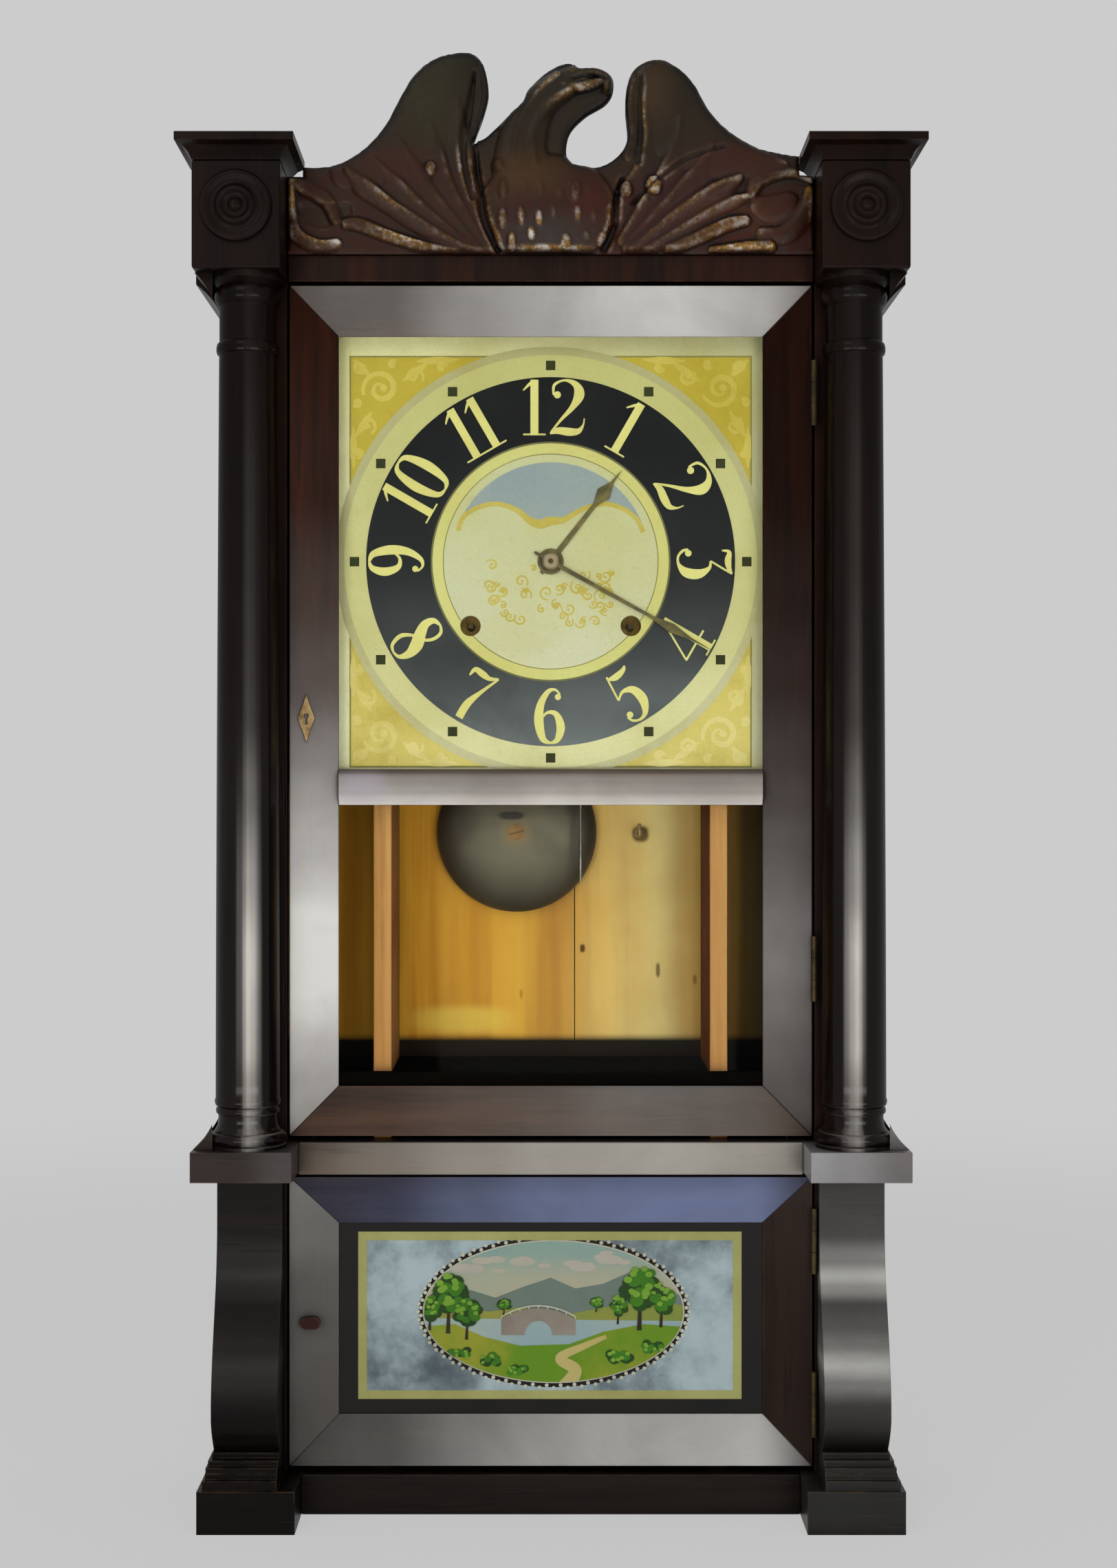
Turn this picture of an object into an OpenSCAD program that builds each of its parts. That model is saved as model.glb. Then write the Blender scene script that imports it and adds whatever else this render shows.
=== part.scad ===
// Column and splat shelf clock with ogee base pilasters, driven by two weights.
// Front faces -Y, +Z is up, and the feet stand on z = 0.

/* [Case] */
// Outer width of the case box
case_w = 424; // [420:1:428]
// Height of the case box, floor to top board
case_h = 860; // [858:1:864]
// Depth of the case box, from the front frame to the back
case_d = 104; // [100:1:108]
// Thickness of the side, floor and front frame boards
board_t = 12; // [10:1:13]
// Thickness of the backboards
back_t = 6; // [5:1:8]
// Half width of the opening between the front stiles
mouth_hw = 170; // [170:0.5:171]
// Where the seam of the two backboards lies
seam_x = 17; // [-40:1:40]

/* [Front ornament] */
// How far the corner blocks stand in front of the case
block_d = 44; // [42:1:46]
// Distance of the columns' axes from the middle
column_x = 193; // [192:0.5:194]
// Radius of a column's shaft at its foot
shaft_r = 20.4; // [19:0.2:20.6]
// Radius of a column's shaft at its head
shaft_top_r = 18; // [17:0.2:19]
// Radius of the turned base and capital
turning_r = 24.4; // [23:0.2:24.4]
// Level of the underside of the upper blocks
block_z = 792; // [792:1:796]
// How far the caps overhang the blocks in front
cap_over = 12; // [10:1:14]
// How far the ogee bulges in front of its top
ogee_bulge = 27; // [20:1:30]
// Thickness of the splat board behind the carving
splat_t = 9; // [8:1:10]

/* [Doors] */
// Half width of both doors
door_hw = 168.4; // [168:0.1:168.5]
// Width of a door member
member_w = 31; // [28:0.5:33]
// Thickness of a door
door_t = 18; // [17:0.5:19]
// How much the bevel of a member falls towards the glass
bevel_drop = 9; // [7:0.5:10]
// Lower and upper edge of the upper door
upper_door_z = [243, 790.5];
// Lower and upper edge of the lower door
lower_door_z = [30.5, 216.5];
// Lower and upper edge of the bar between the two lights
muntin_z = [456, 479.3];

/* [Dial and hands] */
// Height of the dial's centre above the floor
dial_z = 615; // [612:1:618]
// Half width of the dial board
dial_hw = 153; // [150:1:156]
// Distance of the winding arbors from the middle
wind_x = 52.4; // [50:0.2:55]
// How far the winding arbors lie below the dial's centre
wind_drop = 42; // [40:1:44]
// Length of the hour hand from its centre
hour_len = 76; // [70:1:82]
// Length of the minute hand from its centre
minute_len = 122; // [110:1:126]
// Angle of the hour hand past twelve
hour_angle = 38; // [0:1:359]
// Angle of the minute hand past twelve
minute_angle = 119; // [0:1:359]

/* [Works] */
// Radius of the cord drums
drum_r = 15; // [14:0.5:16]
// Diameter of the weight cords
cord_d = 2; // [1.6:0.1:2.4]
// Width of a weight, from side to side
weight_w = 56; // [50:1:58]
// Depth of a weight, from front to back
weight_d = 30; // [26:1:30]
// Height of a weight
weight_h = 124; // [100:2:130]
// Radius of the bell's mouth
bell_r = 55; // [50:1:56]
// How far the pendulum hangs beside the middle
pendulum_x = 20.6; // [18:0.2:22]

/* [Hidden] */
$fn = 48;

// Case planes
case_hw = case_w / 2;
back_y = 80;
front_y = back_y - case_d;
frame_y = front_y + board_t;
inner_hw = case_hw - board_t;
backboard_y = back_y - back_t;
block_y = front_y - block_d;
top_t = 10;
floor_z = 12;

// Blocks, plinths and feet: near and far side from the middle
block_x = [169.6, 225];
plinth_x = [162.5, 226];
foot_x = [160.4, 222];
ogee_x = [172, 214];
plinth_z = [220, 239];
foot_h = 27;
ogee_z = [47, 220];
block_top = 860;
column_y = block_y + 25.6;
cap_h = 14;
cap_slab = 5;
cap_x = [160, 234];

// Door planes
door_back = front_y + 15;
door_front = door_back - door_t;
bevel_y = door_front + bevel_drop;
glass_y = bevel_y + 1.5;
glass_t = 2;
rebate = 4;
hinge_x = 169.4;
hinge_y = door_front - 2.6;
knuckle_r = 2.2;
pin_r = 1.1;
run_gap = 0.05;
hinge_h = 42;
upper_hinge_z = [330, 700];
lower_hinge_z = [50, 155];
lock_x = -158;
lock_z = 512;
catch_x = -154.6;
catch_z = 122.6;

// Dial and works planes, front to back
dial_y = -6;
dial_t = 6;
dial_low = 470;
dial_high = 768;
plate_y = [9, 40];
plate_t = 1.5;
cord_y = 25;
arbor_r = 2.5;
pipe_r = 3.6;
hour_y = -8.6;
minute_y = -11;
hand_t = 0.8;
wind_z = dial_z - wind_drop;
motion_gap = 12;

// Cord path: pulley on the inside, weight hanging on the outside
fall_x = 158;
pulley_r = 12;
cord_r = cord_d / 2;
pulley_x = fall_x - pulley_r - cord_r;
pulley_z = 826;
weight_z = 30;
hook_h = 16;
fall_z = weight_z + weight_h + hook_h;
drum_cord_r = drum_r + cord_r;
cord_gap = 0.3;

// Pendulum, bell and hammer
pivot_z = 676;
stud_r = 1.2;
pendulum_y = 46.8;
rod_r = 0.8;
rod_end_z = 404;
bob_z = 480;
bell_x = -23;
bell_z = 437;
bell_rim_y = 70;
bell_rise = 19;
bell_t = 3.5;
hammer_x = -22;
hammer_z = 560;
hammer_y = 58.5;

// ---------- small tools ----------

// Box between two corners
module slab(x, y, z) {
  translate([x[0], y[0], z[0]]) cube([x[1] - x[0], y[1] - y[0], z[1] - z[0]]);
}

// The same thing on both sides of the middle
module both() {
  for (side = [0, 1]) mirror([side, 0, 0]) children();
}

// A (y, z) outline pulled from x[0] to x[1]
module along_x(x) {
  translate([x[0], 0, 0]) rotate([90, 0, 90]) linear_extrude(x[1] - x[0]) children();
}

// An (x, z) outline pulled from y[0] to y[1]
module along_y(y) {
  translate([0, y[1], 0]) rotate([90, 0, 0]) linear_extrude(y[1] - y[0]) children();
}

// A round bar along Y
module bar_y(x, z, y, r) {
  translate([x, y[1], z]) rotate([90, 0, 0]) cylinder(h = y[1] - y[0], r = r);
}

// A turned (r, z) outline stood on its axis along -Y
module turned_y(x, y, z) {
  translate([x, y, z]) rotate([90, 0, 0]) rotate_extrude() children();
}

// Smooth curve through a list of points
function spline(p, n) = [
  for (i = [0 : len(p) - 2], k = [0 : n - 1])
    let (
      t = k / n,
      a = p[max(i - 1, 0)],
      b = p[i],
      c = p[i + 1],
      d = p[min(i + 2, len(p) - 1)]
    )
    0.5 * (2 * b + (c - a) * t + (2 * a - 5 * b + 4 * c - d) * t * t
      + (3 * b - a - 3 * c + d) * t * t * t)
];

// Points of a quarter cove from a to b, hollow side towards (b.x, a.y)
function cove(a, b, n = 8) = [
  for (k = [0 : n])
    let (w = 90 * k / n)
    [b.x - (b.x - a.x) * cos(w), a.y + (b.y - a.y) * (1 - cos(w)) * 0.5
      + (b.y - a.y) * sin(w) * 0.5]
];

// Outline of a toothed wheel, one tooth centred on the angle of phase
function wheel_points(teeth, m, phase) = [
  for (i = [0 : teeth - 1], k = [0 : 5])
    let (
      step = 360 / teeth,
      r = m * teeth / 2,
      root = r - 1.25 * m,
      tip = r + 0.85 * m,
      at = [-0.28, -0.18, -0.07, 0.07, 0.18, 0.28][k],
      reach = [root, r, tip, tip, r, root][k],
      w = phase + step * (i + at)
    )
    [reach * cos(w), reach * sin(w)]
];

// ---------- case ----------

module case_sides() {
  color("saddlebrown")
    both() slab([inner_hw, case_hw], [frame_y, back_y], [0, case_h - top_t]);
}

module top_board() {
  color("saddlebrown")
    slab([-case_hw, case_hw], [frame_y, back_y], [case_h - top_t, case_h]);
}

module bottom_board() {
  color("burlywood")
    slab([-inner_hw, inner_hw], [frame_y, backboard_y], [floor_z, floor_z + board_t]);
}

module backboards() {
  color("goldenrod") {
    slab([-inner_hw, seam_x - 0.3], [backboard_y, back_y], [0, case_h - top_t]);
    slab([seam_x + 0.3, inner_hw], [backboard_y, back_y], [0, case_h - top_t]);
  }
}

module front_stiles() {
  mortise = [8, 16];
  color("#3a1f14") {
    slab([mouth_hw, case_hw], [front_y, frame_y], [0, case_h]);
    difference() {
      slab([-case_hw, -mouth_hw], [front_y, frame_y], [0, case_h]);
      translate([-mouth_hw - mortise[0], front_y + 4, lock_z - mortise[1] / 2])
        cube([mortise[0] + 1, 6, mortise[1]]);
    }
  }
}

// Proud strips on the rails
strip_t = 4;
strip_hw = 169;

module top_rail() {
  rail_z = 793;
  strip_h = 17;
  color("#3a1f14") {
    slab([-mouth_hw, mouth_hw], [front_y, frame_y], [rail_z, case_h]);
    slab([-strip_hw, strip_hw], [front_y - strip_t, front_y], [rail_z, rail_z + strip_h]);
  }
}

module mid_rail() {
  rail_z = [218, plinth_z[1]];
  color("#55443a") {
    slab([-mouth_hw, mouth_hw], [front_y, frame_y], rail_z);
    slab([-plinth_x[0], plinth_x[0]], [front_y - strip_t, front_y], rail_z);
  }
}

module base_rail() {
  rail_z = [0, 26];
  strip_out = 6;
  color("#3a1f14") {
    slab([-mouth_hw, mouth_hw], [front_y, frame_y], rail_z);
    slab([-foot_x[0], foot_x[0]], [front_y - strip_out, front_y], rail_z);
  }
}

guide_x = [104, 116];
guide_y = [-4, backboard_y];
guide_top = 552;
shelf_z = 282;

// Upright boards beside the weights, stepped back where they pass behind the dial
module weight_guides() {
  step_z = dial_low - 0.5;
  color("wheat")
    both() along_x(guide_x)
      polygon([
        [guide_y[0], floor_z + board_t], [guide_y[1], floor_z + board_t],
        [guide_y[1], guide_top], [0, guide_top], [0, step_z], [guide_y[0], step_z]
      ]);
}

module shelf() {
  apron = 20;
  color("#33251c") {
    slab([-guide_x[0], guide_x[0]], guide_y, [shelf_z - 6, shelf_z]);
    slab([-inner_hw, inner_hw], [guide_y[0] - 4, guide_y[0]], [shelf_z - apron, shelf_z]);
  }
}

// ---------- crest ----------

// Upper edge of the splat from left to right: wing, head, wing
left_wing = [
  [-159.5, 866], [-147, 866], [-133, 869], [-118, 879], [-106, 893], [-97, 910],
  [-88, 925], [-76, 935], [-60, 939], [-49, 938], [-43, 930], [-40, 914],
  [-43, 900], [-47, 889], [-50, 881]
];
head = [
  [-50, 881], [-42, 885], [-27, 899], [-18, 907], [-14, 916], [-4, 926], [7, 932],
  [15, 932], [19, 928], [31, 929], [39, 924], [40, 915], [35, 907], [22, 899],
  [12, 888], [10, 874], [14, 867]
];
right_wing = [
  [14, 867], [30, 866], [42, 872], [49, 883], [48, 902], [49, 918], [55, 930],
  [70, 935], [83, 929], [93, 918], [102, 902], [115, 889], [132, 879], [147, 875],
  [159.5, 873]
];
splat_z = 810;
body_outline = [
  [-22, 812], [-40, 842], [-36, 872], [-20, 896], [-13, 914], [8, 929], [20, 914],
  [12, 892], [16, 872], [34, 858], [34, 834], [20, 812]
];

// Fan of feathers on one wing, every second point the tip of a feather
feathers = 6;
feather_fan = concat(
  [for (k = [0 : 2 * feathers])
    let (w = 16 + 5.7 * k, reach = 90 - 2 * k - (k % 2 == 0 ? 13 : 0))
    [reach * cos(w), reach * sin(w)]],
  [for (w = [84 : -17 : 16]) [16 * cos(w), 16 * sin(w)]]
);

module carved_splat() {
  sunk = 0.5;
  edge = concat(spline(left_wing, 4), spline(head, 4), spline(right_wing, 4));
  under_cap = [159.5, block_top];
  color("#6b5a38") {
    along_y([front_y - splat_t, front_y])
      polygon(concat(edge, [
        [under_cap.x, 873], under_cap, [strip_hw, under_cap.y], [strip_hw, splat_z],
        [-strip_hw, splat_z], [-strip_hw, under_cap.y], [-under_cap.x, under_cap.y]
      ]));
    along_y([front_y - splat_t - 5, front_y - splat_t + sunk])
      polygon(concat(spline(body_outline, 3), [[20, 812]]));
    both() along_y([front_y - splat_t - 3, front_y - splat_t + sunk])
      translate([44, 816]) polygon(feather_fan);
  }
}

module upper_blocks() {
  color("#3a1f14")
    both() slab(block_x, [block_y, front_y], [block_z, block_top]);
}

// Cap moulding: a hollow under a thin slab
module block_caps() {
  rise = cap_h - cap_slab;
  flare = [0, 0.2, 0.55, 1];
  level = [0, 0.45, 0.8, 1];
  over = [cap_x[1] - block_x[1], block_x[0] - cap_x[0], cap_over];
  back = frame_y - 2;
  color("#3a1f14")
    both() {
      slab(cap_x, [block_y - cap_over, back], [block_top + rise, block_top + cap_h]);
      for (k = [0 : 2])
        hull()
          for (e = [k, k + 1])
            translate([
              block_x[0] - over[1] * flare[e], block_y - over[2] * flare[e],
              block_top + rise * level[e] - (e > k ? 0.01 : 0)
            ])
              cube([
                block_x[1] - block_x[0] + (over[0] + over[1]) * flare[e],
                back - block_y + over[2] * flare[e], 0.01
              ]);
    }
}

module rosettes() {
  rosette_r = 22.5;
  rosette_z = 831;
  ring = [
    [0, 0], [rosette_r, 0], [rosette_r, 2.2], [20.5, 3.4], [17.5, 2.4], [14.5, 1.8],
    [12.5, 3], [11.3, 4.6], [9.6, 4.8], [8, 3.4], [5.2, 2.6], [3.2, 4.6], [0, 5.6]
  ];
  color("#4a2a1a")
    both() turned_y((block_x[0] + block_x[1]) / 2, block_y, rosette_z) polygon(ring);
}

// ---------- columns and blocks ----------

module columns() {
  foot = plinth_z[1];
  neck = shaft_top_r;
  collar_z = 742;
  capital_z = 772;
  head_r = turning_r - 0.4;
  flat_back = 16.8;
  profile = concat(
    [[0, foot], [turning_r, foot], [turning_r, foot + 2]],
    [for (w = [-60 : 30 : 90]) [turning_r - 3 + 3 * cos(w), foot + 6 + 4 * sin(w)]],
    spline([[21.4, foot + 10.5], [19.2, foot + 14], [18.6, foot + 20]], 3),
    [[18.6, foot + 20], [19.9, foot + 22], [19.9, foot + 25], [19, foot + 26.4],
     [20.8, foot + 27.6], [20.8, foot + 30.5], [shaft_r, foot + 31.5]],
    [[neck + 0.2, collar_z], [19.6, collar_z + 2], [19.6, collar_z + 6], [neck, collar_z + 8],
     [neck, capital_z], [20.4, capital_z + 4], [21, capital_z + 8], [20.4, capital_z + 11],
     [19.2, capital_z + 12.5], [21.6, capital_z + 14.6], [head_r, capital_z + 16],
     [head_r, block_z], [0, block_z]]
  );
  color("#3a1f14")
    both() difference() {
      translate([column_x, column_y, 0]) rotate_extrude() polygon(profile);
      slab([column_x - 30, column_x + 30], [column_y + flat_back, frame_y], [foot - 1, block_z + 1]);
    }
}

// Flare from the case side out to a block: an (x, z) outline
module flare_outline(from_z, to_z, reach) {
  polygon(concat(
    cove([case_hw, from_z], [reach, to_z]),
    [[case_hw - 7, to_z], [case_hw - 7, from_z]]
  ));
}

module column_clearance() {
  translate([column_x, column_y, 0]) cylinder(h = block_top, r = turning_r + 0.3);
}

horn_y = [block_y + 12, front_y];
waist_z = 262;

module plinth_blocks() {
  color("#4a3428")
    both() {
      slab(plinth_x, [block_y, front_y], plinth_z);
      difference() {
        along_y(horn_y) flare_outline(waist_z, plinth_z[1], plinth_x[1]);
        column_clearance();
      }
    }
}

// Forward reach of the ogee at a height
ogee_low = 72;
ogee_high = 186;
function ogee_front(z) =
  z > ogee_high ? front_y - 10
  : z > ogee_low ? front_y - 10
    - ogee_bulge * (1 - cos(180 * (ogee_high - z) / (ogee_high - ogee_low))) / 2
  : front_y - 10 - ogee_bulge
    + 13 * (1 - cos(90 * (ogee_low - z) / (ogee_low - ogee_z[0])));

module ogee_pilasters() {
  color("#5a4a40")
    both() along_x(ogee_x)
      polygon(concat(
        [[front_y, ogee_z[0]]],
        [for (k = [0 : 36])
          let (z = ogee_z[0] + (ogee_z[1] - ogee_z[0]) * k / 36) [ogee_front(z), z]],
        [[front_y, ogee_z[1]]]
      ));
}

module feet() {
  lip_h = 6;
  lip_x = foot_x[1] - 3;
  cove_steps = 4;
  step_h = (ogee_z[0] - foot_h - lip_h) / cove_steps;
  color("#3a1f14")
    both() {
      slab(foot_x, [block_y, front_y], [0, foot_h]);
      slab([ogee_x[0], lip_x], [block_y + 2, front_y], [foot_h, foot_h + lip_h]);
      for (k = [0 : cove_steps - 1])
        slab([ogee_x[0], lip_x - 1.5 - 0.36 * k * k], [block_y + 5 + 1.1 * k * k, front_y],
          [foot_h + lip_h + step_h * k, foot_h + lip_h + step_h * (k + 1)]);
    }
}

// Mouldings that return along the case sides behind the blocks
module side_mouldings() {
  shoulder_z = 768;
  fillet = [229, 812];
  skirt_z = 47;
  color("#3a1f14")
    both() {
      along_y([front_y, back_y])
        polygon(concat(
          cove([case_hw, shoulder_z], [fillet.x, block_z]),
          [fillet, [case_hw, fillet.y]]
        ));
      along_y([front_y, back_y])
        polygon(concat(
          cove([case_hw, waist_z], [plinth_x[1], plinth_z[1]]),
          [[plinth_x[1], plinth_z[0]], [case_hw, plinth_z[0]]]
        ));
      along_y([front_y, back_y])
        polygon(concat(
          cove([case_hw, skirt_z], [foot_x[1], foot_h]),
          [[foot_x[1], 0], [case_hw, 0]]
        ));
      // Flare under the upper block, in front of the case
      difference() {
        along_y(horn_y) flare_outline(shoulder_z, block_z, block_x[1]);
        column_clearance();
      }
    }
}

// ---------- bell and hook ----------

module bell() {
  curve = [for (w = [0 : 9 : 90]) [bell_r * sin(w), bell_rise * cos(w)]];
  inside = [for (w = [90 : -9 : 0]) [(bell_r - bell_t) * sin(w), (bell_rise - bell_t) * cos(w)]];
  hole_r = 2.6;
  color("dimgray")
    difference() {
      turned_y(bell_x, bell_rim_y, bell_z) polygon(concat(curve, inside));
      bar_y(bell_x, bell_z, [bell_rim_y - 30, bell_rim_y + 5], hole_r);
    }
}

module bell_screw() {
  color("peru") {
    bar_y(bell_x, bell_z, [bell_rim_y - bell_rise - 0.5, backboard_y], 2.4);
    difference() {
      bar_y(bell_x, bell_z, [bell_rim_y - bell_rise - 3, bell_rim_y - bell_rise], 5.5);
      translate([bell_x, bell_rim_y - bell_rise - 3, bell_z]) rotate([0, -14, 0])
        cube([12, 2, 1.2], center = true);
    }
    bar_y(bell_x, bell_z, [bell_rim_y - bell_rise + bell_t + 0.2, backboard_y], 5);
  }
}

module key_hook() {
  hook_x = 61;
  hook_z = 436;
  wire = 1.1;
  color("darkgoldenrod") {
    bar_y(hook_x, hook_z, [backboard_y - 14, backboard_y], wire);
    bar_y(hook_x, hook_z, [backboard_y - 3, backboard_y], 3);
    translate([hook_x, backboard_y - 14, hook_z - wire]) cylinder(h = 8, r = wire);
  }
}

// ---------- dial ----------

module dial() {
  hole_r = 6.75;
  color("ivory")
    difference() {
      slab([-dial_hw, dial_hw], [dial_y, dial_y + dial_t], [dial_low, dial_high]);
      bar_y(0, dial_z, [dial_y - 1, dial_y + dial_t + 1], 5);
      bar_y(wind_x, wind_z, [dial_y - 1, dial_y + dial_t + 1], hole_r);
      bar_y(-wind_x, wind_z, [dial_y - 1, dial_y + dial_t + 1], hole_r);
    }
}

// Upright strips that the dial's ends are fixed to, carried by the front stiles
module dial_cleats() {
  cleat_x = [141, 188];
  color("burlywood")
    both() {
      slab(cleat_x, [dial_y + dial_t, plate_y[0]], [dial_low, dial_high]);
      slab([mouth_hw + 1, cleat_x[1]], [frame_y, dial_y + dial_t], [dial_low, dial_high]);
    }
}

// ---------- movement ----------

plate_x = [-74, 74];
plate_z = [540, 704];
pillar_at = [[-66, 548], [66, 548], [-66, 696], [66, 696]];
stud_at = [-motion_gap * sin(45), dial_z - motion_gap * cos(45)];
escape_z = 650;

module plate(y) {
  difference() {
    slab(plate_x, [y, y + plate_t], plate_z);
    for (side = [-1, 1]) bar_y(side * wind_x, wind_z, [y - 1, y + 3], arbor_r + run_gap);
    bar_y(0, dial_z, [y - 1, y + 3], 1.5 + run_gap);
    bar_y(pendulum_x, escape_z, [y - 1, y + 3], 1 + run_gap);
    bar_y(pendulum_x, pivot_z, [y - 1, y + 3], 1.2 + run_gap);
    bar_y(hammer_x, hammer_z, [y - 1, y + 3], 1.5 + run_gap);
    // Openings that lighten the plate
    slab([-40, 8], [y - 1, y + 3], [640, 686]);
    slab([-24, 14], [y - 1, y + 3], [576, 602]);
  }
}

module movement_plates() {
  color("goldenrod") {
    plate(plate_y[0]);
    plate(plate_y[1]);
  }
}

module plate_pillars() {
  color("darkgoldenrod") {
    for (p = pillar_at)
      bar_y(p.x, p.y, [plate_y[0] + plate_t, plate_y[1]], 3.2);
    // Stud of the minute wheel
    bar_y(stud_at.x, stud_at.y, [2.6, plate_y[0]], 1.2);
    // Cock behind the back plate, with the stud that the pendulum hangs on
    slab([pendulum_x - 5, pendulum_x + 5], [plate_y[1] + plate_t, 51.5], [pivot_z + 5, pivot_z + 8]);
    slab([pendulum_x - 5, pendulum_x + 5], [50, 51.5], [pivot_z - 4, pivot_z + 5]);
    bar_y(pendulum_x, pivot_z, [45.4, 50], stud_r);
  }
}

// Wooden rails behind the back plate, the lower one open for pendulum and hammer
module movement_rails() {
  rail_hw = 100;
  rail_h = 16;
  gap = [-58, 46];
  y = [plate_y[1] + plate_t, backboard_y];
  low = [plate_z[0] - 8, plate_z[0] - 8 + rail_h];
  color("burlywood") {
    slab([-rail_hw, rail_hw], y, [plate_z[1] - 8, plate_z[1] - 8 + rail_h]);
    slab([-rail_hw, gap[0]], y, low);
    slab([gap[1], rail_hw], y, low);
  }
}

// ---------- hands and motion work ----------

// A flat hand in the (x, z) plane, turned past twelve by an angle
module hand(y, angle, len, hub, neck, belly, tail, bore) {
  outline = [
    [-neck, 0], [-neck * 0.7, len * 0.62], [-belly, len * 0.74], [-neck * 0.5, len * 0.86],
    [0, len], [neck * 0.5, len * 0.86], [belly, len * 0.74], [neck * 0.7, len * 0.62],
    [neck, 0], [neck * 0.6, -tail], [-neck * 0.6, -tail]
  ];
  translate([0, 0, dial_z]) rotate([0, angle, 0])
    difference() {
      union() {
        along_y([y, y + hand_t]) polygon(outline);
        bar_y(0, 0, [y, y + hand_t], hub);
      }
      bar_y(0, 0, [y - 1, y + 2], bore);
    }
}

module minute_hand() {
  color("#2c2118") hand(minute_y, minute_angle, minute_len, 6, 1.5, 3.2, 12, 1.5);
}

module hour_hand() {
  color("#2c2118") hand(hour_y, hour_angle, hour_len, 8.5, 1.9, 5, 10, pipe_r);
}

cannon_teeth = 12;
minute_teeth = 36;
leaf_teeth = 10;
hour_teeth = 40;
cannon_m = 2 * motion_gap / (cannon_teeth + minute_teeth);
leaf_m = 2 * motion_gap / (leaf_teeth + hour_teeth);
stud_dir = 225;

module gear_y(x, z, y, teeth, m, phase) {
  translate([x, 0, z]) along_y(y) polygon(wheel_points(teeth, m, phase));
}

// Centre arbor with the cannon pinion, turning inside the hour pipe
module minute_arbor() {
  color("goldenrod") {
    bar_y(0, dial_z, [minute_y - 1.8, minute_y + hand_t], 1.5);
    bar_y(0, dial_z, [minute_y + hand_t, 5.2], arbor_r);
    gear_y(0, dial_z, [5.2, 7.6], cannon_teeth, cannon_m, stud_dir);
    bar_y(0, dial_z, [7.6, plate_y[1] + plate_t], 1.5);
  }
}

module minute_wheel() {
  color("goldenrod")
    difference() {
      union() {
        gear_y(stud_at.x, stud_at.y, [5.6, 6.8], minute_teeth, cannon_m,
          stud_dir + 180 + 180 / minute_teeth);
        gear_y(stud_at.x, stud_at.y, [2.8, 5.6], leaf_teeth, leaf_m, stud_dir + 180);
      }
      bar_y(stud_at.x, stud_at.y, [0, 8], 1.2 + run_gap);
    }
}

module hour_pipe() {
  color("goldenrod")
    difference() {
      union() {
        bar_y(0, dial_z, [hour_y, 4.6], pipe_r);
        gear_y(0, dial_z, [3.2, 4.4], hour_teeth, leaf_m, stud_dir + 180 / hour_teeth);
      }
      bar_y(0, dial_z, [hour_y - 1, 6], arbor_r + run_gap);
    }
}

// ---------- escapement and pendulum ----------

escape_teeth = 42;
escape_r = 15;
escape_y = [34, 35.2];

module escape_wheel() {
  teeth = [
    for (i = [0 : escape_teeth - 1], k = [0 : 1])
      let (w = 360 * (i + 0.15 * k) / escape_teeth, r = k == 0 ? escape_r : escape_r - 2)
      [r * cos(w), r * sin(w)]
  ];
  color("goldenrod") {
    difference() {
      translate([pendulum_x, 0, escape_z]) along_y(escape_y) polygon(teeth);
      for (w = [45 : 90 : 315])
        bar_y(pendulum_x + 7.2 * cos(w), escape_z + 7.2 * sin(w), [30, 40], 3.4);
    }
    bar_y(pendulum_x, escape_z, [plate_y[0], escape_y[0]], 1);
    bar_y(pendulum_x, escape_z, [escape_y[1], plate_y[1] + plate_t], 1);
  }
}

// Verge arbor with its strip and the crutch that drives the rod
module verge() {
  spread = 11;
  crutch_y = [pendulum_y - 4, pendulum_y - 2.4];
  crutch_x = [pendulum_x - 0.8, pendulum_x + 0.8];
  crutch_len = 42;
  color("silver") {
    bar_y(pendulum_x, pivot_z, [plate_y[0], crutch_y[1]], 1.2);
    translate([pendulum_x, 0, pivot_z]) along_y([33.4, 35.8])
      polygon([
        [-spread, -12.2], [-spread + 1.4, -13], [-7, -4.4], [7, -4.4],
        [spread - 1.4, -13], [spread, -12.2], [7.6, -0.4], [0, 2.4], [-7.6, -0.4]
      ]);
    // Crutch wire and the pin that drives the rod
    slab(crutch_x, crutch_y, [pivot_z - crutch_len, pivot_z]);
    slab(crutch_x, [crutch_y[0], pendulum_y - rod_r],
      [pivot_z - crutch_len - 2, pivot_z - crutch_len]);
  }
}

// Wire rod hung on the cock's stud by an eye
module pendulum_rod() {
  eye_r = 3.2;
  color("silver") {
    translate([pendulum_x, pendulum_y, rod_end_z])
      cylinder(h = pivot_z - eye_r + 0.6 - rod_end_z, r = rod_r);
    difference() {
      bar_y(pendulum_x, pivot_z, [pendulum_y - 1, pendulum_y + 1], eye_r);
      bar_y(pendulum_x, pivot_z, [pendulum_y - 2, pendulum_y + 2], stud_r + run_gap);
    }
  }
}

module pendulum_bob() {
  bob_r = 16;
  half = 4.6;
  rim = [for (w = [-90 : 15 : 90]) [bob_r - 2.4 + 2.4 * cos(w), half * sin(w)]];
  color("darkgoldenrod")
    difference() {
      turned_y(pendulum_x, pendulum_y - 1.2, bob_z) polygon(concat([[0, -half]], rim, [[0, half]]));
      translate([pendulum_x, pendulum_y, bob_z - 30]) cylinder(h = 60, r = rod_r);
    }
}

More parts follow.
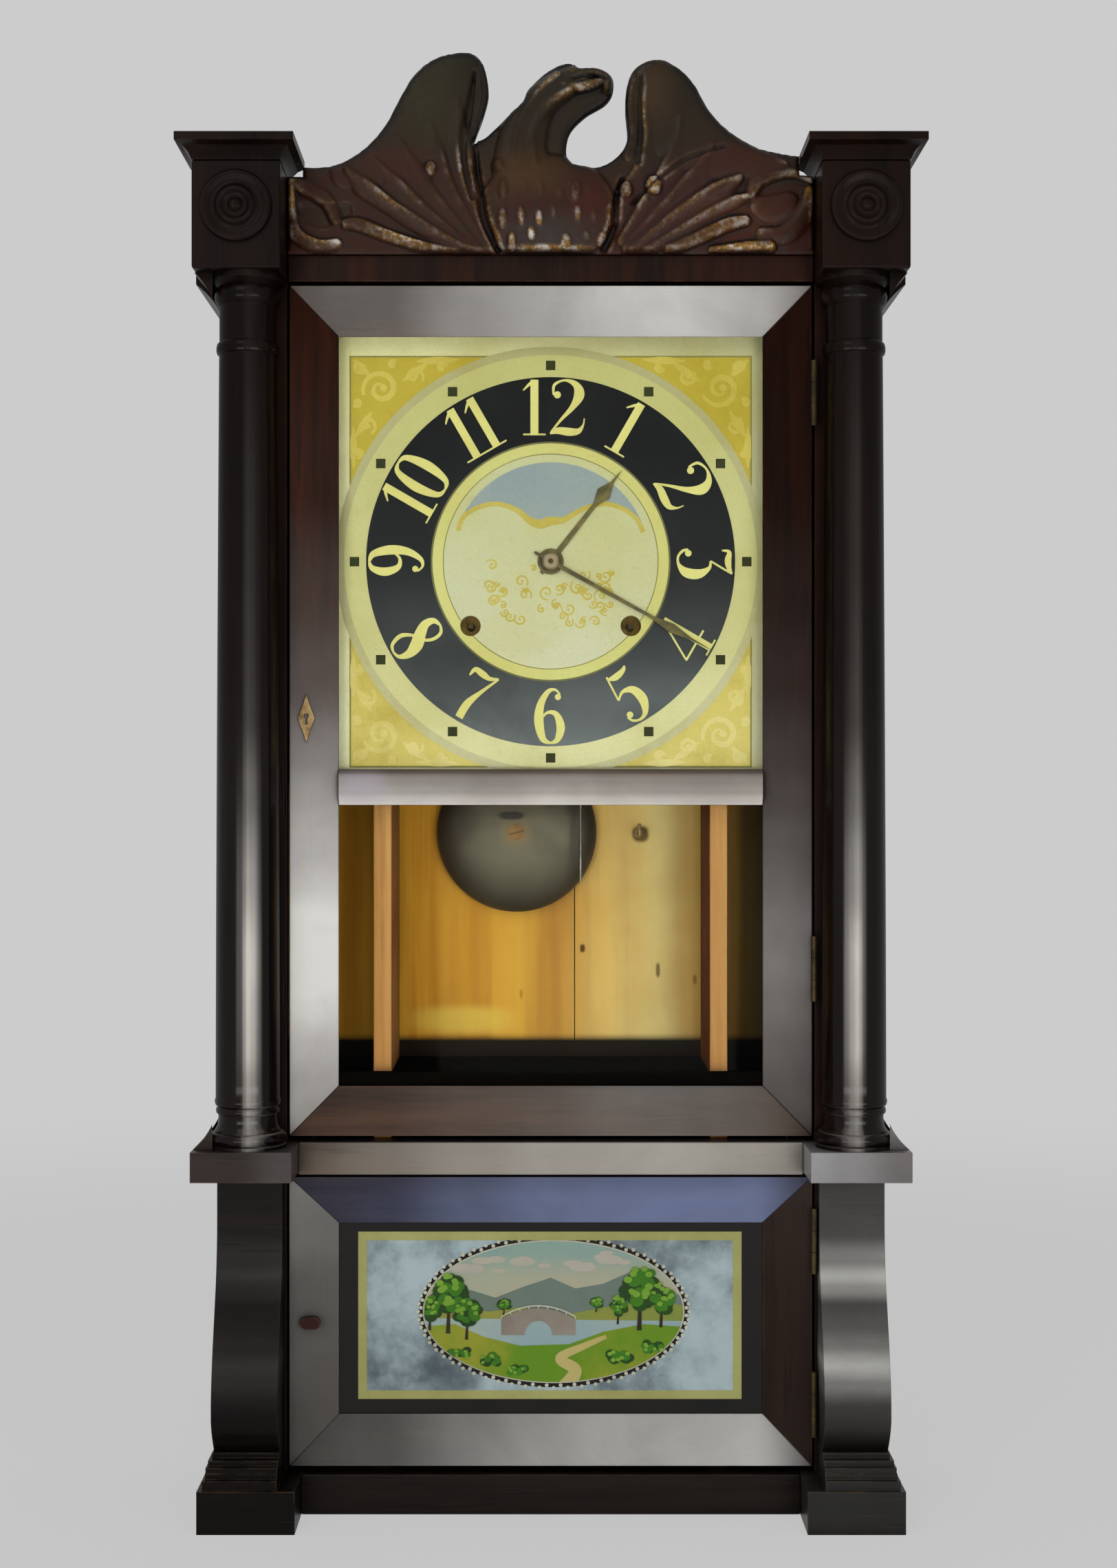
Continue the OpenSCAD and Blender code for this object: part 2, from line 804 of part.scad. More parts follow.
// Hammer on its arbor, its head just off the bell's rim
module hammer() {
  head_dir = 135;
  head_h = 13;
  head_reach = bell_r - 0.6 + head_h / 2;
  head_at = [bell_x + head_reach * cos(head_dir), bell_z + head_reach * sin(head_dir)];
  arm = head_at - [hammer_x, hammer_z];
  color("dimgray") {
    bar_y(hammer_x, hammer_z, [plate_y[0], hammer_y + 1.5], 1.5);
    translate([hammer_x, hammer_y, hammer_z]) rotate([0, atan2(arm.x, arm.y), 0])
      cylinder(h = norm(arm), r = 1.1);
    translate([head_at.x, hammer_y, head_at.y]) rotate([0, 90 - head_dir, 0])
      cylinder(h = head_h, r = 5, center = true);
  }
}

// ---------- weights, drums and pulleys ----------

module drum(side) {
  ridge = drum_r + 2.6;
  great_teeth = 54;
  great_m = 0.82;
  color("tan")
    bar_y(side * wind_x, wind_z, [15.5, 34.5], drum_r - cord_gap);
  color("goldenrod") {
    bar_y(side * wind_x, wind_z, [14, 15.5], ridge);
    bar_y(side * wind_x, wind_z, [34.5, 35.5], ridge);
    gear_y(side * wind_x, wind_z, [35.5, 37.5], great_teeth, great_m, 0);
    bar_y(side * wind_x, wind_z, [2, 14], arbor_r);
    bar_y(side * wind_x, wind_z, [37.5, plate_y[1] + plate_t], arbor_r);
    slab([side * wind_x - 1.7, side * wind_x + 1.7], [dial_y + 0.5, 2],
      [wind_z - 1.7, wind_z + 1.7]);
  }
}

module drum_left() {
  drum(-1);
}

module drum_right() {
  drum(1);
}

pulley_half = 3;
pulley_pin_r = 1.5;

module pulley(side) {
  flange = pulley_r + 3;
  outline = [
    [pulley_pin_r + run_gap, -pulley_half], [flange, -pulley_half], [flange, -2],
    [pulley_r - cord_gap, -1.4], [pulley_r - cord_gap, 1.4], [flange, 2],
    [flange, pulley_half],
    [pulley_pin_r + run_gap, pulley_half]
  ];
  color("burlywood")
    turned_y(side * pulley_x, cord_y, pulley_z) polygon(outline);
}

module pulley_left() {
  pulley(-1);
}

module pulley_right() {
  pulley(1);
}

// Bracket under the top board: two cheeks, a bridge and the pulley's pin
module pulley_brackets() {
  top = case_h - top_t;
  color("darkgoldenrod")
    both() {
      for (y = [[cord_y - 6, cord_y - 4.5], [cord_y + 4.5, cord_y + 6]])
        slab([pulley_x - 5, pulley_x + 5], y, [pulley_z - 5, top]);
      slab([pulley_x - 5, pulley_x + 5], [cord_y - 6, cord_y + 6], [top - 2, top]);
      bar_y(pulley_x, pulley_z, [cord_y - 6, cord_y + 6], pulley_pin_r);
    }
}

// Rectangle with cut corners, around the middle
module weight_outline(inset) {
  w = weight_w / 2 - inset;
  d = weight_d / 2 - inset;
  cut = 4;
  polygon([
    [-w + cut, -d], [w - cut, -d], [w, -d + cut], [w, d - cut],
    [w - cut, d], [-w + cut, d], [-w, d - cut], [-w, -d + cut]
  ]);
}

// Cast weight with a stepped head and a wire loop on top
module weight(side) {
  loop_r = 5;
  wire_r = 1.1;
  step_h = 3;
  step_in = 2.4;
  color("dimgray")
    translate([side * fall_x, cord_y, weight_z]) {
      linear_extrude(weight_h - step_h) weight_outline(0);
      linear_extrude(weight_h) weight_outline(step_in);
      translate([0, 0, weight_h + loop_r - wire_r / 2]) rotate([90, 0, 0])
        rotate_extrude() translate([loop_r, 0]) circle(r = wire_r);
    }
}

module weight_left() {
  weight(-1);
}

module weight_right() {
  weight(1);
}

// Cord from the pulley down to the weight's loop
module cord_fall(side) {
  color("wheat")
    translate([side * fall_x, cord_y, fall_z - 5]) cylinder(h = pulley_z - fall_z + 5, r = cord_r);
}

module cord_fall_left() {
  cord_fall(-1);
}

module cord_fall_right() {
  cord_fall(1);
}

// Cord from the drum up to the pulley, with the turn over the pulley
run_from = [wind_x, wind_z];
run_to = [pulley_x, pulley_z];
run_reach = pulley_r + cord_r;
run_dir = atan2(run_to.y - run_from.y, run_to.x - run_from.x);
run_dist = norm(run_to - run_from);
run_twist = asin((run_reach - drum_cord_r) / run_dist);
run_turn = run_dir + 90 + run_twist;
drum_wrap = 240;

// The cord's middle line, from its fixed end on the drum to the top of the fall
run_path = concat(
  [for (w = [drum_wrap : -15 : 0])
    run_from + drum_cord_r * [cos(run_turn + w), sin(run_turn + w)]],
  [for (k = [0 : 12])
    run_to + run_reach * [cos(run_turn * (1 - k / 12)), sin(run_turn * (1 - k / 12))]]
);

// Round cord along an (x, z) path in the plane of the cords
module cord_tube(path, end_dir, sides = 8) {
  last = len(path) - 1;
  points = [
    for (i = [0 : last])
      let (
        t = i == last ? end_dir : path[i + 1] - path[max(i - 1, 0)],
        across = [-t.y, t.x] / norm(t)
      )
      for (k = [0 : sides - 1])
        let (w = 360 * k / sides)
        [path[i].x + cord_r * cos(w) * across.x, cord_y + cord_r * sin(w),
         path[i].y + cord_r * cos(w) * across.y]
  ];
  walls = [
    for (i = [0 : last - 1], k = [0 : sides - 1], half = [0, 1])
      let (
        a = i * sides + k,
        b = i * sides + (k + 1) % sides
      )
      half == 0 ? [a, b, b + sides] : [a, b + sides, a + sides]
  ];
  start_cap = [for (k = [1 : sides - 2]) [0, k + 1, k]];
  end_cap = [for (k = [1 : sides - 2]) [last * sides, last * sides + k, last * sides + k + 1]];
  polyhedron(points, concat(walls, start_cap, end_cap));
}

module cord_runs() {
  color("wheat")
    both() cord_tube(run_path, [0, -1]);
}

// ---------- hinges ----------

// Fixed leaf with the outer knuckles and the pin, at one height
module fixed_leaf(z) {
  third = hinge_h / 3;
  for (k = [0, 2])
    translate([hinge_x, hinge_y, z + third * k]) cylinder(h = third - 0.2, r = knuckle_r);
  translate([hinge_x, hinge_y, z]) cylinder(h = hinge_h - 0.2, r = pin_r);
  for (k = [0, 2])
    slab([hinge_x + 0.05, mouth_hw], [hinge_y, frame_y], [z + third * k, z + third * (k + 1) - 0.2]);
}

// Moving leaf with the middle knuckle
module moving_leaf(z) {
  third = hinge_h / 3;
  difference() {
    union() {
      translate([hinge_x, hinge_y, z + third]) cylinder(h = third - 0.2, r = knuckle_r);
      slab([door_hw, hinge_x - 0.35], [hinge_y, door_back], [z + third, z + 2 * third - 0.2]);
    }
    translate([hinge_x, hinge_y, z]) cylinder(h = hinge_h, r = pin_r + run_gap);
  }
}

module case_hinges() {
  color("darkgoldenrod")
    for (z = concat(upper_hinge_z, lower_hinge_z)) fixed_leaf(z);
}

module upper_door_hinges() {
  color("darkgoldenrod")
    for (z = upper_hinge_z) moving_leaf(z);
}

module lower_door_hinges() {
  color("darkgoldenrod")
    for (z = lower_hinge_z) moving_leaf(z);
}

// ---------- doors ----------

// Cross-section of a door member: w runs from the outer edge to the glass
member_section = [
  [0, door_back], [0, door_front], [member_w, bevel_y], [member_w, glass_y],
  [member_w - rebate, glass_y], [member_w - rebate, door_back]
];

// Upright member at the left side, mitred at both ends
module door_stile(z) {
  intersection() {
    translate([-door_hw, 0, z[0]]) linear_extrude(z[1] - z[0]) polygon(member_section);
    along_y([door_front - 1, door_back + 1])
      polygon([
        [-door_hw, z[0]], [-door_hw + member_w, z[0] + member_w],
        [-door_hw + member_w, z[1] - member_w], [-door_hw, z[1]]
      ]);
  }
}

// Level member at the lower edge, mitred at both ends
module door_rail(z) {
  intersection() {
    along_x([-door_hw, door_hw])
      polygon([for (p = member_section) [p.y, z[0] + p.x]]);
    along_y([door_front - 1, door_back + 1])
      polygon([
        [-door_hw, z[0]], [door_hw, z[0]], [door_hw - member_w, z[0] + member_w],
        [-door_hw + member_w, z[0] + member_w]
      ]);
  }
}

module stile_pair(z) {
  both() door_stile(z);
}

module rail_pair(z) {
  door_rail(z);
  translate([0, 0, z[0] + z[1]]) mirror([0, 0, 1]) door_rail(z);
}

module upper_door_stiles() {
  color("#4a2a1a")
    difference() {
      stile_pair(upper_door_z);
      // Room for the lock and its bolt
      slab([-door_hw - 1, lock_x + 7], [front_y + 3.6, front_y + 10.4],
        [lock_z - 8.2, lock_z + 8.2]);
    }
}

module upper_door_rails() {
  color("#5a4030") rail_pair(upper_door_z);
}

pane_hw = door_hw - member_w + rebate;
light_hw = door_hw - member_w;

module upper_door_muntin() {
  rib = [muntin_z[0] + 7, muntin_z[1] - 7];
  color("#3a1f14") {
    along_x([-light_hw, light_hw])
      polygon([
        [glass_y, muntin_z[0]], [glass_y - 2, muntin_z[0]], [glass_y - 5.5, muntin_z[0] + 6],
        [glass_y - 5.5, muntin_z[1] - 3], [glass_y - 2, muntin_z[1]], [glass_y, muntin_z[1]]
      ]);
    slab([-pane_hw, pane_hw], [glass_y, door_back], rib);
  }
}

module upper_door_panes() {
  z = [
    upper_door_z[0] + member_w - rebate, muntin_z[0] + 7, muntin_z[1] - 7,
    upper_door_z[1] - member_w + rebate
  ];
  color("lightcyan", 0.35) {
    slab([-pane_hw, pane_hw], [glass_y, glass_y + glass_t], [z[0], z[1]]);
    slab([-pane_hw, pane_hw], [glass_y, glass_y + glass_t], [z[2], z[3]]);
  }
}

// Lock case let into the stile, with the lozenge plate on the bevel
module door_lock() {
  tilt = atan(bevel_drop / member_w);
  face = door_front + (lock_x + door_hw) * bevel_drop / member_w;
  plate_hw = 5.5;
  plate_hh = 15.5;
  color("darkgoldenrod") {
    difference() {
      slab([lock_x - 8, lock_x + 7], [front_y + 3.6, front_y + 10.4], [lock_z - 8.2, lock_z + 8.2]);
      slab([lock_x - 9, lock_x + 4], [front_y + 4.4, front_y + 9.6], [lock_z - 7.2, lock_z + 7.2]);
    }
    translate([lock_x, face, lock_z]) rotate([0, 0, tilt])
      difference() {
        along_y([-1, 0])
          polygon([[-plate_hw, 0], [-2, plate_hh * 0.6], [0, plate_hh], [2, plate_hh * 0.6],
            [plate_hw, 0], [2, -plate_hh * 0.6], [0, -plate_hh], [-2, -plate_hh * 0.6]]);
        bar_y(0, 1.5, [-2, 1], 1.6);
        slab([-0.7, 0.7], [-2, 1], [-4, 1.5]);
      }
  }
}

module lock_bolt() {
  color("silver")
    slab([lock_x - 8, lock_x + 3], [front_y + 4.8, front_y + 9.2], [lock_z - 6.8, lock_z + 6.8]);
}

module lower_door_stiles() {
  color("#4a2a1a")
    difference() {
      stile_pair(lower_door_z);
      bar_y(catch_x, catch_z, [door_front - 1, door_back + 1], 1.5 + run_gap);
    }
}

module lower_door_rails() {
  color("#5a4030") rail_pair(lower_door_z);
}

module tablet_glass() {
  color("#24303a")
    slab([-pane_hw, pane_hw], [glass_y, glass_y + glass_t],
      [lower_door_z[0] + member_w - rebate, lower_door_z[1] - member_w + rebate]);
}

// Turn button: oval knob in front, tongue behind the door
module door_catch() {
  face = door_front + (catch_x + door_hw) * bevel_drop / member_w;
  knob_r = 3.8;
  knob_t = 4;
  proud = 2.2 + knob_t;
  color("#5a1f14") {
    hull()
      for (dx = [-2.6, 2.6])
        translate([dx, 0, 0]) bar_y(catch_x, catch_z, [face - proud, face - proud + knob_t], knob_r);
    bar_y(catch_x, catch_z, [face - proud + 1, door_back + 2.4], 1.5);
    slab([catch_x - 2.6, catch_x + 2.6], [door_back + 0.4, door_back + 2.4],
      [catch_z - 21, catch_z + 3]);
  }
}

case_sides();
top_board();
bottom_board();
backboards();
front_stiles();
top_rail();
mid_rail();
base_rail();
weight_guides();
shelf();
carved_splat();
upper_blocks();
block_caps();
rosettes();
columns();
plinth_blocks();
ogee_pilasters();
feet();
side_mouldings();
bell();
bell_screw();
key_hook();
dial();
dial_cleats();
movement_plates();
plate_pillars();
movement_rails();
pulley_brackets();
case_hinges();
cord_runs();
upper_door_stiles();
upper_door_rails();
upper_door_muntin();
upper_door_panes();
upper_door_hinges();
door_lock();
lock_bolt();
lower_door_stiles();
lower_door_rails();
tablet_glass();
lower_door_hinges();
door_catch();
minute_hand();
minute_arbor();
minute_wheel();
hour_hand();
hour_pipe();
escape_wheel();
verge();
pendulum_rod();
pendulum_bob();
hammer();
drum_left();
drum_right();
pulley_left();
pulley_right();
weight_left();
weight_right();
cord_fall_left();
cord_fall_right();
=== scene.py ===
import math
import bmesh
import bpy
import numpy as np
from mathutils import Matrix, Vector
from mathutils.geometry import delaunay_2d_cdt


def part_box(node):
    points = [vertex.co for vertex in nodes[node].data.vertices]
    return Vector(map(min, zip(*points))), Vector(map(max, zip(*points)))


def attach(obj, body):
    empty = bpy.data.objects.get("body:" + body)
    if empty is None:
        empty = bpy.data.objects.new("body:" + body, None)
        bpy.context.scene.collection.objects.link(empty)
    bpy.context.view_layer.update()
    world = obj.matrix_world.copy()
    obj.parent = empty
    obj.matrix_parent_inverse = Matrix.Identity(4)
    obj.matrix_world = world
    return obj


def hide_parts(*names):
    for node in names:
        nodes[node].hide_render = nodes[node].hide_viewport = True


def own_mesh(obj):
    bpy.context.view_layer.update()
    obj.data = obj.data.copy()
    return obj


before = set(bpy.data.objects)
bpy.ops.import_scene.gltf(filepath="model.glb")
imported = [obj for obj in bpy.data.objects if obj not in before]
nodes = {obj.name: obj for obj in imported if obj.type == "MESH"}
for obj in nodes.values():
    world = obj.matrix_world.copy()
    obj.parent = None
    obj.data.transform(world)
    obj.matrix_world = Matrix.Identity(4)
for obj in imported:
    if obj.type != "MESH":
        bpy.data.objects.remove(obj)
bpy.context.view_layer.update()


# small tools

def tint(hexColour):
    # a colour as it looks on screen, as the linear values that shaders use
    parts = [int(hexColour[i:i + 2], 16) / 255 for i in (1, 3, 5)]
    return tuple(c / 12.92 if c <= 0.04045 else ((c + 0.055) / 1.055) ** 2.4 for c in parts) + (1.0,)


def smoothLine(points, steps):
    # smooth curve through every point, any number of values per point
    p = np.array(points, float)
    padded = np.vstack([p[:1], p, p[-1:]])
    line = []
    for i in range(len(p) - 1):
        a, b, c, d = padded[i:i + 4]
        for k in range(steps):
            t = k / steps
            line.append(0.5 * (2 * b + (c - a) * t + (2 * a - 5 * b + 4 * c - d) * t * t
                               + (3 * b - a - 3 * c + d) * t ** 3))
    line.append(p[-1])
    return np.array(line)


def softStep(value, low, high):
    t = np.clip((value - low) / (high - low), 0, 1)
    return t * t * (3 - 2 * t)


def addPiece(name, points, faces, body, material, stands=(), slotName=None, sharp=35):
    mesh = bpy.data.meshes.new(name)
    mesh.from_pydata([tuple(map(float, p)) for p in points], [], [tuple(map(int, f)) for f in faces])
    shape = bmesh.new()
    shape.from_mesh(mesh)
    bmesh.ops.remove_doubles(shape, verts=shape.verts, dist=1e-7)
    bmesh.ops.recalc_face_normals(shape, faces=shape.faces)
    shape.to_mesh(mesh)
    shape.free()
    mesh.shade_smooth()
    mesh.set_sharp_from_angle(angle=math.radians(sharp))
    mesh.materials.append(material)
    piece = bpy.data.objects.new(name, mesh)
    bpy.context.scene.collection.objects.link(piece)
    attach(piece, body)
    if stands:
        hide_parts(*stands)
    return piece


def turned(profile, centre, axis, around, flatBack=None):
    # a lathe: (radius, height) points turned about an upright axis or one that points at the viewer
    points, faces = [], []
    n = len(profile)
    for k in range(around):
        w = 2 * math.pi * k / around
        for r, h in profile:
            if axis == "z":
                y = centre[1] + r * math.sin(w)
                if flatBack is not None:
                    y = min(y, flatBack)
                points.append((centre[0] + r * math.cos(w), y, h))
            else:
                points.append((centre[0] + r * math.cos(w), centre[1] - h, centre[2] + r * math.sin(w)))
    for k in range(around):
        here, after = k * n, (k + 1) % around * n
        for i in range(n - 1):
            faces.append((here + i, after + i, after + i + 1, here + i + 1))
    return points, faces


def joined(parts):
    # several (points, faces) lists as one
    points, faces = [], []
    for morePoints, moreFaces in parts:
        start = len(points)
        points += list(morePoints)
        faces += [tuple(i + start for i in f) for f in moreFaces]
    return points, faces


def anticlockwise(shape):
    p = np.array([q[:2] for q in shape], float)
    q = np.roll(p, -1, 0)
    return p if np.sum(p[:, 0] * q[:, 1] - q[:, 0] * p[:, 1]) > 0 else p[::-1]


def flatUnion(polygons, holes=(), within=None):
    # flat shapes that may overlap, less the holes and cut off at one outline, as one sheet of triangles
    points, outlines = [], []
    for shape in [*polygons, *holes] + ([within] if within is not None else []):
        start = len(points)
        points += [Vector(p) for p in anticlockwise(shape)]
        outlines.append(list(range(start, start + len(shape))))
    corners, _, triangles, _, _, owners = delaunay_2d_cdt(points, [], outlines, 0, 1e-5)
    solid, cut = set(range(len(polygons))), set(range(len(polygons), len(polygons) + len(holes)))
    last = len(outlines) - 1
    kept = [t for t, owner in zip(triangles, owners)
            if solid & set(owner) and not cut & set(owner) and (within is None or last in owner)]
    return np.array([tuple(c) for c in corners]), kept


def thickSheet(corners, triangles, front, back):
    # a flat (x, z) sheet between two depths, closed all round
    used = sorted({i for t in triangles for i in t})
    place = {old: new for new, old in enumerate(used)}
    n = len(used)
    points = [(corners[i][0], front, corners[i][1]) for i in used]
    points += [(corners[i][0], back, corners[i][1]) for i in used]
    faces, edges = [], {}
    for t in triangles:
        a, b, c = (place[i] for i in t)
        u, v = corners[t[1]] - corners[t[0]], corners[t[2]] - corners[t[0]]
        if u[0] * v[1] - u[1] * v[0] < 0:
            b, c = c, b
        faces += [(a, b, c), (a + n, c + n, b + n)]
        for e in ((a, b), (b, c), (c, a)):
            edges[e] = True
    for a, b in edges:
        if (b, a) not in edges:
            faces.append((a, a + n, b + n, b))
    return points, faces


def ribbon(line, widths):
    # quads along a line, as wide as each point says
    line = np.array(line, float)
    along = np.gradient(line, axis=0)
    along /= np.maximum(np.linalg.norm(along, axis=1, keepdims=True), 1e-9)
    widths = np.array(widths, float)
    side = np.stack([-along[:, 1], along[:, 0]], 1) * widths[:, None]
    left, right = line + side, line - side
    shapes = []
    for i in range(len(line) - 1):
        quad = np.array([left[i], right[i], right[i + 1], left[i + 1]])
        edge = np.roll(quad, -1, 0) - quad
        after = np.roll(edge, -1, 0)
        turn = edge[:, 0] * after[:, 1] - edge[:, 1] * after[:, 0]
        if turn.min() > 0 or turn.max() < 0:
            shapes.append(quad)
            continue
        d = line[i + 1] - line[i]      # a bend too tight for its width: a straight bar with round ends
        across = np.array([-d[1], d[0]]) / max(math.hypot(*d), 1e-9)
        a, b, r, s = line[i], line[i + 1], widths[i], widths[i + 1]
        shapes += [[a + across * r, a - across * r, b - across * s, b + across * s],
                   disc(a[0], a[1], r, 12), disc(b[0], b[1], s, 12)]
    return shapes


def disc(x, y, r, n=28, squash=1.0):
    return [(x + r * math.cos(2 * math.pi * k / n), y + r * squash * math.sin(2 * math.pi * k / n))
            for k in range(n)]


# shader tools

def feed(tree, node, inputs):
    # an input is a value or another node's socket
    for key, value in inputs.items():
        if isinstance(value, bpy.types.NodeSocket):
            tree.links.new(value, node.inputs[key])
        else:
            node.inputs[key].default_value = value


def put(tree, kind, inputs=None, **settings):
    # one node with its settings
    node = tree.nodes.new("ShaderNode" + kind)
    for key, value in settings.items():
        setattr(node, key, value)
    feed(tree, node, inputs or {})
    return node


def calc(tree, operation, a, b=0.0, clamp=False):
    return put(tree, "Math", {0: a, 1: b}, operation=operation, use_clamp=clamp).outputs[0]


def span(tree, value, low, high, toLow=0.0, toHigh=1.0):
    return put(tree, "MapRange", {"Value": value, 1: low, 2: high, 3: toLow, 4: toHigh},
               interpolation_type="SMOOTHSTEP").outputs[0]


def blendColours(tree, share, first, second, mode="MIX"):
    return put(tree, "Mix", {0: share, 6: first, 7: second}, data_type="RGBA", blend_type=mode).outputs[2]


def newGroup(name, inputs, outputs):
    group = bpy.data.node_groups.new(name, "ShaderNodeTree")
    for label, kind, value in inputs:
        socket = group.interface.new_socket(name=label, in_out="INPUT", socket_type="NodeSocket" + kind)
        if value is not None:
            socket.default_value = value
    for label, kind in outputs:
        group.interface.new_socket(name=label, in_out="OUTPUT", socket_type="NodeSocket" + kind)
    return group, group.nodes.new("NodeGroupInput"), group.nodes.new("NodeGroupOutput")


def useGroup(tree, group, inputs):
    node = put(tree, "Group", node_tree=group)
    feed(tree, node, inputs)
    return node


def newMaterial(name):
    material = bpy.data.materials.new(name)
    material.use_nodes = True
    tree = material.node_tree
    tree.nodes.clear()
    output = put(tree, "OutputMaterial")
    shader = put(tree, "BsdfPrincipled")
    tree.links.new(shader.outputs[0], output.inputs[0])
    return material, tree, shader       # the caller feeds the shader


def axisValue(tree, axis, source="Object"):
    # one coordinate of the place on the clock, or of the direction that the surface faces
    return put(tree, "SeparateXYZ", {0: put(tree, "TexCoord").outputs[source]}).outputs["XYZ".index(axis)]


def alongAxis(tree, axis, stops):
    # a value that changes along one axis of the clock: (place in metres, value) pairs
    return alongValue(tree, axisValue(tree, axis), stops)


def alongValue(tree, value, stops):
    low, high = stops[0][0], stops[-1][0]
    share = put(tree, "MapRange", {"Value": value, 1: low, 2: high}).outputs[0]
    ramp = put(tree, "ValToRGB", {0: share})
    ramp.color_ramp.interpolation = "EASE"
    marks = ramp.color_ramp.elements
    for at, _ in stops[1:-1]:
        marks.new((at - low) / (high - low))
    for mark, (_, value) in zip(marks, stops):
        mark.color = (value, value, value, 1)
    return ramp.outputs[0]


def marked(tree, skin, x, z, wide, tall, colour, share, full=0.5):
    # one soft patch of another colour on the front: middle, half sizes in metres, how strong it is,
    # and the part of its size that has the full strength
    roundness, outerEdge = 2.6, 1.1     # 2 would be an ellipse; the patch fades out at its outer edge
    away = 0.0
    for axis, middle, half in (("X", x, wide), ("Z", z, tall)):
        off = calc(tree, "DIVIDE", calc(tree, "SUBTRACT", axisValue(tree, axis), middle), half)
        away = calc(tree, "ADD", calc(tree, "POWER", calc(tree, "ABSOLUTE", off), roundness), away)
    away = calc(tree, "POWER", away, 1 / roundness)       # 1 all along a rounded rectangle
    return blendColours(tree, span(tree, away, outerEdge, full, 0.0, share), skin, tint(colour))


def spread(tree, mask, low, high, ends):
    # a value from one end to the other along a mask; a plain number where both ends are the same
    return ends[0] if ends[0] == ends[1] else span(tree, mask, low, high, *ends)


def surfaceOf(tree, shader):
    # joins a shader to the tree's output in place of the one before
    output = next(n for n in tree.nodes if n.type == "OUTPUT_MATERIAL")
    tree.links.new(shader.outputs[0], output.inputs[0])


# effects that several finishes share

def grainGroup():
    group, start, end = newGroup(
        "woodGrain",
        [("Vector", "Vector", None), ("Dark", "Color", None), ("Light", "Color", None),
         ("Fine", "Float", 60.0), ("Broad", "Float", 9.0), ("Pores", "Float", 0.5)],
        [("Color", "Color"), ("Height", "Float")])
    fine = put(group, "TexNoise", {"Vector": start.outputs["Vector"], "Scale": start.outputs["Fine"],
                                   "Detail": 7.0, "Roughness": 0.62, "Distortion": 0.25}).outputs[0]
    broad = put(group, "TexNoise", {"Vector": start.outputs["Vector"], "Scale": start.outputs["Broad"],
                                    "Detail": 3.0, "Roughness": 0.5, "Distortion": 1.2}).outputs[0]
    mixer = calc(group, "ADD", calc(group, "MULTIPLY", fine, 0.6), calc(group, "MULTIPLY", broad, 0.4))
    share = span(group, mixer, 0.36, 0.64)
    colour = blendColours(group, share, start.outputs["Dark"], start.outputs["Light"])
    flecks = put(group, "TexNoise", {"Vector": start.outputs["Vector"],
                                     "Scale": calc(group, "MULTIPLY", start.outputs["Fine"], 4.0),
                                     "Detail": 2.0}).outputs[0]
    pore = calc(group, "MULTIPLY", span(group, flecks, 0.6, 0.72), start.outputs["Pores"])
    dark = blendColours(group, 1.0, colour, (0.25, 0.22, 0.2, 1), "MULTIPLY")
    group.links.new(blendColours(group, pore, colour, dark), end.inputs["Color"])
    height = calc(group, "SUBTRACT", calc(group, "MULTIPLY", share, 0.4), pore)
    group.links.new(height, end.inputs["Height"])
    return group


def bloomGroup():
    # old varnish gone grey and hazy in places; given a mask along the clock it also paints sheen, the lamps'
    # reflections, and on the weight guides shade
    group, start, end = newGroup(
        "varnishBloomAndSheen",
        [("Vector", "Vector", None), ("Wood", "Color", None), ("HazeSheenShade", "Color", None),
         ("Amount", "Float", 0.2), ("Patch", "Float", 8.0)],
        [("Color", "Color"), ("Mask", "Float")])
    cloud = put(group, "TexNoise", {"Vector": start.outputs["Vector"], "Scale": start.outputs["Patch"],
                                    "Detail": 6.0, "Roughness": 0.6, "Distortion": 0.4}).outputs[0]
    uneven = span(group, cloud, 0.3, 0.7, 0.8, 1.14)
    mask = calc(group, "MULTIPLY", uneven, start.outputs["Amount"], clamp=True)
    group.links.new(blendColours(group, mask, start.outputs["Wood"], start.outputs["HazeSheenShade"]),
                    end.inputs["Color"])
    group.links.new(mask, end.inputs["Mask"])
    return group


def edgeGroup():
    # rubbed edges: where a rounded normal leaves the true one
    group, start, end = newGroup(
        "edgeWear",
        [("Vector", "Vector", None), ("Radius", "Float", 0.0015), ("Amount", "Float", 0.5)],
        [("Mask", "Float")])
    rounded = put(group, "Bevel", {"Radius": start.outputs["Radius"]}, samples=4).outputs[0]
    plain = put(group, "NewGeometry").outputs["Normal"]
    dot = put(group, "VectorMath", {0: rounded, 1: plain}, operation="DOT_PRODUCT").outputs["Value"]
    edge = span(group, dot, 0.995, 0.88)
    rub = put(group, "TexNoise", {"Vector": start.outputs["Vector"], "Scale": 55.0, "Detail": 5.0,
                                  "Roughness": 0.7}).outputs[0]
    mask = calc(group, "MULTIPLY", edge, span(group, rub, 0.4, 0.62))
    group.links.new(calc(group, "MULTIPLY", mask, start.outputs["Amount"]), end.inputs["Mask"])
    return group


def creviceGroup():
    # dirt and painted shade where surfaces meet: darker where the occlusion test finds other surfaces close
    group, start, end = newGroup(
        "creviceDirtAndShade", [("Reach", "Float", 0.01), ("Amount", "Float", 0.6)], [("Mask", "Float")])
    open_ = put(group, "AmbientOcclusion", {"Distance": start.outputs["Reach"]}, samples=4).outputs["AO"]
    shut = span(group, open_, 0.95, 0.45)
    group.links.new(calc(group, "MULTIPLY", shut, start.outputs["Amount"]), end.inputs["Mask"])
    return group


